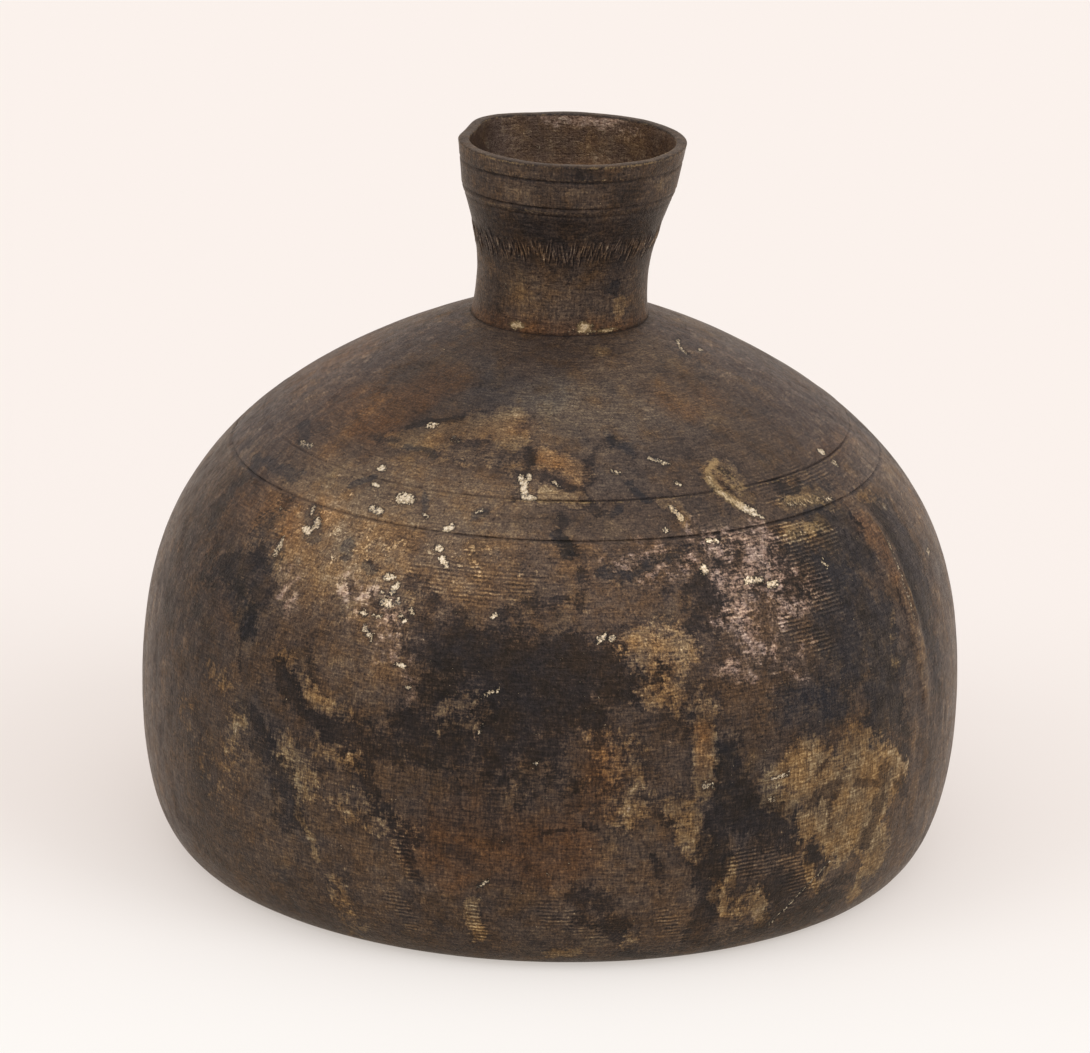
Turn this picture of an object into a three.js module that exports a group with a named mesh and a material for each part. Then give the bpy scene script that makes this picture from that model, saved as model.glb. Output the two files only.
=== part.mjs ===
// Squat metal bottle with a flaring neck: turned shells, soldered one on another round an upright axis.
// Millimetres, +Z up. The origin is the centre of the base, on the surface that the bottle stands on.
import * as THREE from "three";

// Body sizes
const BODY_DIAMETER = 160;
const BODY_WALL = 2.4;
const APEX_HEIGHT = 111.2; // where the dome would close on the axis if it had no opening
const DOME_START = 21.4; // height above which the wall draws in towards the shoulder
const FOOT_START = 40; // height below which the wall draws in towards the foot
const FOOT_INSET = 12; // from the widest radius to the edge that stands on the floor
const FOOT_FLAT = 3; // width of the lower wall's flat on the floor
const PLATE_THICKNESS = 2.4;

// Neck sizes
const NECK_HEIGHT = 34.6;
const NECK_WALL = 2.1;
const MOUTH_DIAMETER = 43.8;
const FLARE_DIAMETER = 41.2; // where the flare meets the bands under the lip
const WAIST_DIAMETER = 32.8;
const NECK_FOOT_DIAMETER = 34.2;
const WAIST_HEIGHT = 8.3; // above the neck's foot
const LIP_BAND = 3.5; // height of the band from the lip to the first groove
const LOWER_BAND = 5.3; // height of the band from the first groove to the second
const NECK_LEAN = 0.045; // sideways drift towards +X for each millimetre of height

// Turned lines, grooves and solder
const SEAM_HEIGHT = 80.5;
const LINE_SPACING = 5.8; // from the seam up to the line on the shoulder
const LINE_DEPTH = 0.35;
const LINE_WIDTH = 0.8;
const GROOVE_DEPTH = 0.4;
const GROOVE_WIDTH = 0.9;
const LIP_CHAMFER = 0.5;
const FILLET = 1.3;
const BEAD_WIDTH = 3;
const BEAD_HEIGHT = 0.8;

// Bends of the outline: a superellipse has one power for its height and one for its radius
const DOME_HEIGHT_POWER = 3.31;
const DOME_RADIUS_POWER = 1.2;
const FOOT_HEIGHT_POWER = 3;
const FOOT_RADIUS_POWER = 2;
const FLARE_POWER = 1.7;

// Steps that curves are cut into
const STEPS_AROUND = 48;
const DOME_STEPS = 8;
const BAND_STEPS = 2;
const WALL_STEPS = 8;
const NECK_STEPS = 6;
const BEAD_STEPS = 4;

// Places worked out from the sizes
const BODY_RADIUS = BODY_DIAMETER / 2;
const SEAM_BOTTOM = SEAM_HEIGHT - LINE_WIDTH / 2;
const SEAM_TOP = SEAM_HEIGHT + LINE_WIDTH / 2;
const LINE_HEIGHT = SEAM_HEIGHT + LINE_SPACING;
const PLATE_RADIUS = BODY_RADIUS - FOOT_INSET - FOOT_FLAT;
const MOUTH_RADIUS = MOUTH_DIAMETER / 2;
const FLARE_RADIUS = FLARE_DIAMETER / 2;
const WAIST_RADIUS = WAIST_DIAMETER / 2;
const NECK_FOOT_RADIUS = NECK_FOOT_DIAMETER / 2;
const OPENING_RADIUS = NECK_FOOT_RADIUS - NECK_WALL;
const LIP_GROOVE_HEIGHT = NECK_HEIGHT - LIP_BAND;
const FLARE_HEIGHT = LIP_GROOVE_HEIGHT - LOWER_BAND;
const SEAT_RADIUS = NECK_FOOT_RADIUS + FILLET;
const SEAT_HEIGHT = domeHeight(SEAT_RADIUS);

// Outside radius of the body at a height: a dome above, and a foot that curls in below.
function bodyRadius(height) {
  const rise = Math.max(0, height - DOME_START) / (APEX_HEIGHT - DOME_START);
  const drop = Math.max(0, FOOT_START - height) / FOOT_START;
  const dome = (1 - rise ** DOME_HEIGHT_POWER) ** (1 / DOME_RADIUS_POWER);
  const curl = (1 - drop ** FOOT_HEIGHT_POWER) ** (1 / FOOT_RADIUS_POWER);
  return BODY_RADIUS * dome - FOOT_INSET * (1 - curl);
}

// Height of the dome's outside at a radius, above where the foot's curl reaches.
function domeHeight(radius) {
  const reach = (radius / BODY_RADIUS) ** DOME_RADIUS_POWER;
  return DOME_START + (APEX_HEIGHT - DOME_START) * (1 - reach) ** (1 / DOME_HEIGHT_POWER);
}

// Steepness of a curve at a place, measured over a short span.
function slopeOf(curve, place) {
  const half = 0.01;
  return (curve(place + half) - curve(place - half)) / (2 * half);
}

// Inside of the shell at a height: the wall's thickness, measured level through its slope.
function wallInside(height) {
  return bodyRadius(height) - BODY_WALL * Math.hypot(1, slopeOf(bodyRadius, height));
}

// Inside of the dome at a radius: the wall's thickness, measured straight down through its slope.
function domeInside(radius) {
  return domeHeight(radius) - BODY_WALL * Math.hypot(1, slopeOf(domeHeight, radius));
}

// Outside radius of the neck at a height above its foot: upright at the waist, curving out to the foot below
// it and to the flare above it, then straight up the bands under the lip.
function neckRadius(height) {
  if (height < WAIST_HEIGHT) {
    const share = 1 - height / WAIST_HEIGHT;
    return WAIST_RADIUS + (NECK_FOOT_RADIUS - WAIST_RADIUS) * share * share;
  }
  if (height < FLARE_HEIGHT) {
    const share = (height - WAIST_HEIGHT) / (FLARE_HEIGHT - WAIST_HEIGHT);
    return WAIST_RADIUS + (FLARE_RADIUS - WAIST_RADIUS) * share ** FLARE_POWER;
  }
  const share = (height - FLARE_HEIGHT) / (NECK_HEIGHT - FLARE_HEIGHT);
  return THREE.MathUtils.lerp(FLARE_RADIUS, MOUTH_RADIUS, share);
}

function neckInside(height) {
  return neckRadius(height) - NECK_WALL;
}

function point(radius, height) {
  return new THREE.Vector2(radius, height);
}

// Even shares from 0 to 1.
function shares(steps) {
  return Array.from({ length: steps + 1 }, (_, step) => step / steps);
}

// Points along a curve that gives a height for each radius.
function alongRadius(curve, from, to, steps) {
  return shares(steps).map((share) => {
    const radius = THREE.MathUtils.lerp(from, to, share);
    return point(radius, curve(radius));
  });
}

// Points along a curve that gives a radius for each height.
function alongHeight(curve, from, to, steps) {
  return shares(steps).map((share) => {
    const height = THREE.MathUtils.lerp(from, to, share);
    return point(curve(height), height);
  });
}

// An outline turned round the upright axis. It runs anticlockwise, with the radius to the right, and either
// starts and ends on the axis or is closed here.
function turned(name, outline, material) {
  const onAxis = outline[0].x === 0;
  const profile = onAxis ? outline : [...outline, outline[0]];
  const geometry = new THREE.LatheGeometry(profile, STEPS_AROUND);
  geometry.rotateX(Math.PI / 2);
  const mesh = new THREE.Mesh(geometry, material);
  mesh.name = name;
  return mesh;
}

// Metals
function metal(color, roughness) {
  return new THREE.MeshStandardMaterial({ color, roughness, metalness: 1 });
}

const neckMetal = metal(0x6b5a45, 0.42);
const shoulderMetal = metal(0x66513a, 0.4);
const wallMetal = metal(0x6a5540, 0.45);
const baseMetal = metal(0x4c4136, 0.55);
const brightSolder = metal(0xb3a893, 0.35);
const seamSolder = metal(0x4a4038, 0.5);
const baseBead = metal(0x443b34, 0.55);

// Base plate: a disc let into the foot
function basePlate() {
  const outline = [
    point(0, 0),
    point(PLATE_RADIUS, 0),
    point(PLATE_RADIUS, PLATE_THICKNESS),
    point(0, PLATE_THICKNESS),
  ];
  return turned("base_plate", outline, baseMetal);
}

// Bead of solder inside, over the joint of the plate and the foot
function baseSolder() {
  const outline = shares(BEAD_STEPS).map((share) => {
    const angle = share * Math.PI;
    const radius = PLATE_RADIUS + (BEAD_WIDTH / 2) * Math.cos(angle);
    return point(radius, PLATE_THICKNESS + BEAD_HEIGHT * Math.sin(angle));
  });
  return turned("base_solder", outline, baseBead);
}

// Lower wall: a flat to stand on, the curl of the foot, the upright wall, and a step inside for the plate.
// The points crowd towards the floor, where the curl is tightest.
function lowerWall() {
  const outside = shares(2 * WALL_STEPS).map((share) => {
    const height = SEAM_BOTTOM * share * share;
    return point(bodyRadius(height), height);
  });
  const inside = alongHeight(wallInside, SEAM_BOTTOM, PLATE_THICKNESS, WALL_STEPS);
  const step = [point(PLATE_RADIUS, PLATE_THICKNESS), point(PLATE_RADIUS, 0)];
  return turned("lower_wall", [...outside, ...inside, ...step], wallMetal);
}

// Ring of solder in the seam, sunk a little below the shells on the outside
function girthSolder() {
  const outline = [
    point(wallInside(SEAM_BOTTOM), SEAM_BOTTOM),
    point(bodyRadius(SEAM_BOTTOM) - LINE_DEPTH, SEAM_BOTTOM),
    point(bodyRadius(SEAM_TOP) - LINE_DEPTH, SEAM_TOP),
    point(wallInside(SEAM_TOP), SEAM_TOP),
  ];
  return turned("girth_solder", outline, seamSolder);
}

// Shoulder: the dome from the seam to the flat seat of the neck, with one turned line round it
function shoulder() {
  const lineBottom = bodyRadius(LINE_HEIGHT - LINE_WIDTH / 2);
  const lineTop = bodyRadius(LINE_HEIGHT + LINE_WIDTH / 2);
  const lineMiddle = (lineBottom + lineTop) / 2;
  const belowLine = alongRadius(domeHeight, bodyRadius(SEAM_TOP), lineBottom, BAND_STEPS);
  const line = point(lineMiddle - LINE_DEPTH, domeHeight(lineMiddle) - LINE_DEPTH);
  const aboveLine = alongRadius(domeHeight, lineTop, SEAT_RADIUS, DOME_STEPS);
  const opening = point(OPENING_RADIUS, SEAT_HEIGHT);
  const inside = alongRadius(domeInside, OPENING_RADIUS, wallInside(SEAM_TOP), DOME_STEPS);
  inside[DOME_STEPS].y = SEAM_TOP;
  return turned("shoulder", [...belowLine, line, ...aboveLine, opening, ...inside], shoulderMetal);
}

// A turned groove in the neck's outside
function neckGroove(height) {
  const half = GROOVE_WIDTH / 2;
  return [
    point(neckRadius(height - half), height - half),
    point(neckRadius(height) - GROOVE_DEPTH, height),
    point(neckRadius(height + half), height + half),
  ];
}

// Neck, with heights above its foot
function neck() {
  const outline = [
    point(NECK_FOOT_RADIUS, 0),
    point(NECK_FOOT_RADIUS, FILLET),
    ...alongHeight(neckRadius, WAIST_HEIGHT / 2, FLARE_HEIGHT - GROOVE_WIDTH, NECK_STEPS),
    ...neckGroove(FLARE_HEIGHT),
    ...neckGroove(LIP_GROOVE_HEIGHT),
    point(MOUTH_RADIUS, NECK_HEIGHT - LIP_CHAMFER),
    point(MOUTH_RADIUS - LIP_CHAMFER, NECK_HEIGHT),
    point(MOUTH_RADIUS - NECK_WALL + LIP_CHAMFER, NECK_HEIGHT),
    ...alongHeight(neckInside, NECK_HEIGHT - LIP_CHAMFER, WAIST_HEIGHT / 2, NECK_STEPS),
    point(OPENING_RADIUS, 0),
  ];
  return turned("neck", outline, neckMetal);
}

// Fillet of solder in the corner between the neck's foot and its seat
function neckSolder() {
  const outline = [
    point(NECK_FOOT_RADIUS, 0),
    point(SEAT_RADIUS, 0),
    point(NECK_FOOT_RADIUS, FILLET),
  ];
  return turned("neck_solder", outline, brightSolder);
}

// The bottle: the neck and its fillet stand on the shoulder's seat and lean together.
const bottle = new THREE.Group();
bottle.add(basePlate(), baseSolder(), lowerWall(), girthSolder(), shoulder());

const leaning = new THREE.Group();
leaning.position.z = SEAT_HEIGHT;
const lean = new THREE.Matrix4().makeShear(0, 0, 0, 0, NECK_LEAN, 0);
for (const piece of [neck(), neckSolder()]) {
  piece.geometry.applyMatrix4(lean);
  leaning.add(piece);
}
bottle.add(leaning);

export default bottle;
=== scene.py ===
"""Looks of a squat metal bottle: a turned neck and shoulder soldered on a domed wall, under a brown patina.

Lengths in this script are millimetres until a mesh or the camera is made. Angles round the bottle are degrees
from its front, which faces -Y, growing towards +X. A place on the body is an angle and the distance up the
outside from the floor, called along. A place on the neck is an angle and a height over the neck's foot.
"""
import math
from types import SimpleNamespace

import bpy
import numpy as np
from mathutils import Matrix, Vector


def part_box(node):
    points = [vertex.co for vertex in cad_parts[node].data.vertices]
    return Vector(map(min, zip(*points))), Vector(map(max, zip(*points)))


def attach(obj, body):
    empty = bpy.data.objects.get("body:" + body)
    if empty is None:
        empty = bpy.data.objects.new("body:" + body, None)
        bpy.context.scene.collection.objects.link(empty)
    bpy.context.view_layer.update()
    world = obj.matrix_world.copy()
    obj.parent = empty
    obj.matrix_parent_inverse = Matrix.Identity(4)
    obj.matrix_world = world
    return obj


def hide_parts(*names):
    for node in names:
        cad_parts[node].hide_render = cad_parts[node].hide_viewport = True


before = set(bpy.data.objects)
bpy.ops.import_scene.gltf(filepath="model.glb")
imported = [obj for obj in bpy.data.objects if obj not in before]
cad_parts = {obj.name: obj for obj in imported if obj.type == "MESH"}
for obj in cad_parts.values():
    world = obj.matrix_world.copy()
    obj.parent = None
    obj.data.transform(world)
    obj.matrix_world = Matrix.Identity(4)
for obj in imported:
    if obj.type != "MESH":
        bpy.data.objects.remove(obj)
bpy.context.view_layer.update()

MM = 0.001


def node_box(node):
    """Lowest and highest corners of a CAD node in millimetres."""
    low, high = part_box(node)
    return np.array(low) / MM, np.array(high) / MM


# Places read from the frame
NECK_LOW, NECK_HIGH = node_box("neck")
FILLET_LOW, FILLET_HIGH = node_box("neck_solder")
BEAD_LOW, BEAD_HIGH = node_box("base_solder")
PLATE_RADIUS, _, PLATE_THICKNESS = node_box("base_plate")[1]
SEAM_BOTTOM = node_box("lower_wall")[1][2]
SEAM_TOP = node_box("shoulder")[0][2]
SEAM_MIDDLE = (SEAM_BOTTOM + SEAM_TOP) / 2
SEAT_HEIGHT = NECK_LOW[2]
SEAT_RADIUS = FILLET_HIGH[1]
FILLET = FILLET_HIGH[2] - FILLET_LOW[2]
NECK_HEIGHT = NECK_HIGH[2] - SEAT_HEIGHT
NECK_LEAN = (NECK_LOW[0] + NECK_HIGH[0]) / 2 / NECK_HEIGHT
MOUTH_RADIUS = NECK_HIGH[1]
BEAD_HALF = BEAD_HIGH[0] - PLATE_RADIUS
BEAD_HEIGHT = BEAD_HIGH[2] - BEAD_LOW[2]

# Sizes of the outline, as in the CAD
BODY_RADIUS = 80.0
BODY_WALL = 2.4
APEX_HEIGHT = 111.2
DOME_START = 21.4
FOOT_START = 40.0
FOOT_INSET = 12.0
DOME_HEIGHT_POWER = 3.31
DOME_RADIUS_POWER = 1.2
FOOT_HEIGHT_POWER = 3
FOOT_RADIUS_POWER = 2
NECK_WALL = 2.1
FLARE_RADIUS = 20.6
WAIST_RADIUS = 16.4
WAIST_HEIGHT = 8.3
FLARE_POWER = 1.7
LIP_BAND = 3.5
LOWER_BAND = 5.3
LIP_ROUNDING = 0.5
NECK_FOOT_RADIUS = SEAT_RADIUS - FILLET
OPENING_RADIUS = NECK_FOOT_RADIUS - NECK_WALL
LIP_GROOVE_HEIGHT = NECK_HEIGHT - LIP_BAND
FLARE_HEIGHT = LIP_GROOVE_HEIGHT - LOWER_BAND
LIP_MIDDLE = NECK_HEIGHT - LIP_BAND / 2
BAND_MIDDLE = LIP_GROOVE_HEIGHT - LOWER_BAND / 2

# Turned lines and grooves
LINE_SPACING = 5.8
LINE_DEPTH = 0.3
LINE_WIDTH = 0.55
LINE_EDGE_WIDTH = LINE_WIDTH * 1.4
SEAM_LINE_WIDTH = LINE_WIDTH * 0.8
SEAM_STAIN_WIDTH = LINE_WIDTH * 1.2
FAINT_LINE_DROP = 4.2
LINE_HEIGHT = SEAM_MIDDLE + LINE_SPACING
LINE_FADE_ANGLE = -100
LINE_FADE = (15, 45)
LINE_LEAST = 0.25
GROOVE_DEPTH = 0.35
GROOVE_WIDTH = 0.8
GROOVE_EDGE_OFFSET = 0.7
GROOVE_EDGE_WIDTH = 0.9
LIP_WEAR_WIDTH = 0.8
FAINT_GROOVE_DROP = 1.6
JOINT_WIDTH = 1.0
JOINT_REACH = 0.45
COMB_SPACING = 0.8
# How lines and grooves waver, in layers that each have a reach and a size in mm
LINE_WAVER = [(0.22, 25.0)]
GROOVE_WAVER = [(0.14, 10.0)]
# How deep they are cut: the size of the changes in mm, and the middle, swing and least of the depth
LINE_CUT = (14.0, 0.65, 0.6, 0.3)
GROOVE_CUT = (9.0, 0.7, 0.55, 0.15)

# Relief of the body, and how far from the floor and from the neck's seat it starts and is full
WAVE_FADE = (3, 25)
FLOOR_FADE = (1, 6)
SEAT_FADE = (1, 4)
DENT_SIZE = 14.0
DENT_HEIGHT = 0.07
PIT_SIZE = 5.0
PIT_LEVELS = (0.45, 0.75)
PIT_DEPTH = 0.1
CHIP_DEPTH = 0.14
STAIN_DEPTH = 0.05
RIDGE_HEIGHT = 0.35
STRIP_HEIGHT = 0.4
# Slow waves round the body: their number, height, start, and turn for each mm on the way up
WAVES = [
    (2, 0.18, 0.7, 0.0),
    (3, 0.1, 0.0, 1 / 30),
    (5, 0.06, -math.pi / 2, 0.0),
]

# Tool strokes round the neck and its other relief
STROKE_COUNT = 300
STROKE_SEED = 5
STROKE_JITTER = 1.6
STROKE_HEIGHT = 16.6
STROKE_SPREAD = 0.9
STROKE_LENGTH = (1.7, 3.6)
STROKE_WIDTH = (0.1, 0.16)
STROKE_STRENGTH = (0.4, 1.0)
STROKE_RELIEF = 0.14
STROKE_SLANT = 0.28
SLANT_SPREAD = 0.14
STROKE_RADIUS = WAIST_RADIUS * 1.08
STROKE_SHADOW = 0.9
# Strokes widen towards the sides, by no more than one over this
NARROWEST_VIEW = 0.65
# Angles over which the strokes grow at the sides, climb at the right and drop at the left
SIDE_ANGLES = (35, 60)
SIDE_LENGTH = 0.3
# Strokes at the sides are stronger, so paler and higher: partly a painted highlight of the side lamps
SIDE_STRENGTH_AND_HIGHLIGHT = 0.25
RIGHT_ANGLES = (20, 60)
RIGHT_RISE = 0.2
LEFT_ANGLES = (5, 55)
LEFT_DROP = 0.6
NECK_DENT_SIZE = 7.0
NECK_DENT_HEIGHT = 0.06
NECK_DENT_FADE = (0.5, 3)
KINK_DEPTH = 12
# Bent corner of the rim: angle, half angle and change of radius of its bulge and of the flat beside it
KINKS = [(-135, 16, 1.8), (-104, 14, -0.7)]

# Relief of the neck's solder, the base plate and the bead inside
SKIN_HEIGHT = 0.3
PLATE_RIPPLE = 0.03
RIPPLE_SPACING = 2.2
RIPPLE_FADE = (40, 60)
BEAD_LUMP_SIZE = 4.0
BEAD_LUMP_HEIGHT = 0.12

# Mesh steps
BODY_COLUMNS = 660
NECK_COLUMNS = 520
RING_COLUMNS = 280
WALL_STEP = 0.75
SHOULDER_STEP = 0.42
LINE_STEP = 0.15
LINE_REACH = 1.0
NECK_STEP = 0.24
SOLDER_STEP = 0.4
SOLDER_ROWS = 7
INSIDE_STEP = 5.0
NECK_INSIDE_STEP = 1.3
LIP_POINTS = 15
FACE_POINTS = 10
BEAD_POINTS = 13
PLATE_RINGS = 33
FRONT_CROWDING = 0.38
TRIAL_POINTS = 2000
SHARP_ANGLE = 38


def srgb(red, green, blue):
    """A colour in sRGB steps of 255 as the linear numbers that shaders take."""
    shares = np.array([red, green, blue]) / 255
    linear = np.where(shares <= 0.04045, shares / 12.92, ((shares + 0.055) / 1.055) ** 2.4)
    return (*linear.tolist(), 1.0)


# Colours of the patina, from its darkest stain to bare metal
TONE_STOPS = [
    (0.0, srgb(30, 27, 25)),
    (0.25, srgb(47, 40, 36)),
    (0.42, srgb(70, 57, 47)),
    (0.58, srgb(96, 78, 61)),
    (0.72, srgb(125, 103, 76)),
    (0.88, srgb(168, 146, 112)),
    (1.0, srgb(206, 184, 148)),
]
# Colours of the silver patches: bare metal with a painted sheen of the lamps, lilac to pinkish white
SILVER_AND_SHEEN_STOPS = [
    (0.1, srgb(34, 32, 33)),
    (0.4, srgb(64, 56, 53)),
    (0.6, srgb(112, 96, 89)),
    (0.8, srgb(140, 122, 112)),
    (1.0, srgb(180, 162, 146)),
]
# Colours of chips, and of the highlights painted on the neck's foot
CHIP_AND_GLINT_STOPS = [
    (0.3, srgb(124, 117, 109)),
    (0.48, srgb(188, 168, 134)),
    (0.7, srgb(236, 223, 200)),
]
WARM_TINT = (1.08, 0.98, 0.88)
COOL_TINT = (0.94, 1.01, 1.19)
RUST_TINT = (1.25, 0.92, 0.66)
GOLD_TINT = (1.0, 0.985, 0.9)
SLATE_TINT = (0.8, 0.95, 1.12)
HAZE_TINT = (0.84, 0.98, 1.16)
BLUSH_TINT = (1.05, 0.97, 0.88)
PALE_GOLD = srgb(172, 146, 104)
INNER_BROWN = srgb(87, 66, 51)
GRAZING_LEVEL = 0.2
GRAZING_TINT = (0.8, 0.68, 0.55, 1.0)

# Noise in the patina: size of its features in mm, detail, roughness, and how its place is stretched
EVEN = (1.0, 1.0, 1.0)
NOISES = {
    "cloud": (26.0, 4.0, 0.55, EVEN),
    "hue": (6.0, 5.0, 0.7, EVEN),
    "mottle": (4.0, 6.0, 0.68, EVEN),
    "flake": (2.4, 6.0, 0.66, (1.0, 1.0, 0.8)),
    "speckle": (1.1, 4.0, 0.7, EVEN),
    "grain": (0.42, 2.0, 0.7, EVEN),
    "streak": (2.2, 4.0, 0.65, (1.0, 1.0, 0.14)),
    "falling": (0.4, 3.0, 0.7, (1.0, 1.0, 0.1)),
    "fibre": (0.36, 2.0, 0.6, (1.0, 1.0, 0.25)),
}
# Noise cut into patches: as above, and the levels where a patch starts and is full
PATCHES = {
    "ochre": (11.0, 8.0, 0.66, (1.0, 1.0, 0.9), 0.03, 0.2),
    "umber": (15.0, 8.0, 0.66, (1.1, 0.9, 1.2), 0.03, 0.2),
    "soot": (8.5, 8.0, 0.7, (0.9, 1.2, 0.8), 0.05, 0.2),
    "blush": (5.0, 5.0, 0.7, (1.2, 1.2, 0.8), -0.08, 0.08),
    "gap": (1.9, 4.0, 0.65, (1.0, 1.0, 1.2), 0.04, 0.12),
    "glint": (1.4, 3.0, 0.6, (1.0, 1.0, 1.4), 0.1, 0.17),
    "pit": (0.9, 3.0, 0.6, (1.0, 1.0, 1.3), 0.12, 0.24),
    "fleck": (0.6, 2.0, 0.6, (1.2, 1.2, 0.9), 0.16, 0.28),
    "scratch": (0.55, 2.0, 0.5, (1.0, 1.0, 0.07), 0.16, 0.26),
}
# Noise drawn out into rings: size, detail, roughness, and the squeeze of its place round the bottle
RINGS = {
    "turning": (0.4, 3.0, 0.7, 0.07),
    "dash": (0.4, 2.0, 0.5, 0.25),
}
# How far each layer of noise, stain and mask lifts the tone
NOISE_LIFTS = {
    "cloud": 0.4,
    "mottle": 0.3,
    "speckle": 0.24,
    "grain": 0.55,
    "hatching": 0.58,
    "ochre": 0.08,
    "umber": -0.07,
    "soot": -0.1,
    "pit": -0.16,
    "fleck": 0.12,
}
FLAKE_LIFTS = {"worn_flake": 0.1, "dark_flake": -0.11}
# The bright glints, dark gaps and dashes in the silver patches are partly painted sparkle of the lamps
MOSAIC_LIFTS = {"glint": 0.17, "gap": -0.28, "dash": 0.8, "speckle": 0.5, "grain": 0.6}
STAIN_LIFTS = {"silver": 0.23, "dark": -0.2, "slate": -0.115, "outline": -0.12, "chip_rim_and_shadow": -0.24}
MASK_LIFTS = {"shade": 0.16, "stroke": 0.42, "pit": -0.06, "groove": -0.25}
SCRATCH_LIFT = 0.2
COMB_LIFT = 0.18
HUE_SPREAD = 0.15
# Masks that the meshes carry for the patina
MASKS = [
    "gold", "dark", "slate", "rust", "silver", "comb", "haze", "cream", "ridge", "shade", "scuff", "stroke",
    "pit", "groove", "inner", "along",
]

# Finishes of the pieces
WALL_FINISH = dict(
    base_tone=0.43, coolness=0.02, mottling=0.95, raggedness=1.0, gold_lift=0.2,
    turning=0.4, falling=0.4, metal=0.45, roughness=0.38,
)
SHOULDER_FINISH = dict(
    base_tone=0.465, coolness=0.095, mottling=0.85, raggedness=0.65, gold_lift=0.13,
    turning=0.3, falling=0.25, metal=0.25, roughness=0.46,
)
NECK_FINISH = dict(
    base_tone=0.42, coolness=0.04, mottling=0.95, raggedness=0.65, gold_lift=0.16,
    turning=0.3, falling=0.3, metal=0.4, roughness=0.42,
)
SOLDER_FINISH = SHOULDER_FINISH | dict(base_tone=0.46, coolness=0.08)
BASE_FINISH = dict(
    base_tone=0.45, coolness=0.0, mottling=0.8, raggedness=1.0, gold_lift=0.2,
    turning=0.3, falling=0.2, metal=0.3, roughness=0.5,
)

# Stage and light. The floor's side, and the depths between which its colour changes, are in metres. The
# floor's glow grows brighter towards the camera, a painted falloff of light
FLOOR_COLOUR = (0.99, 0.99, 0.99, 1.0)
FLOOR_FAR = (0.93, 0.815, 0.742, 1.0)
FLOOR_NEAR = (1.0, 0.965, 0.91, 1.0)
FLOOR_DEPTHS = (0.03, -0.14)
FLOOR_GLOW = 0.52
FLOOR_SIDE = 8.0
WORLD_COLOUR = (1.0, 0.89, 0.82, 1.0)
WORLD_LIGHT = 0.48
LAMP_COLOUR = (0.98, 1.0, 1.03)
# Each lamp's turn from the front and rise in degrees, strength, and spread in degrees
LAMPS = {
    "lamp_top": (15, 66, 1.15, 90),
    "lamp_left": (-59, 40, 0.42, 30),
    "lamp_right": (59, 40, 0.62, 30),
}

# Camera
CAMERA_RISE = 17.82
CAMERA_ROLL = 1.607
CAMERA_DISTANCE = 1120.0
CAMERA_AIM = (-1.62, 0.0, 63.08)
CAMERA_SENSOR = 36.0
CAMERA_LENS = 190.1

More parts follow.
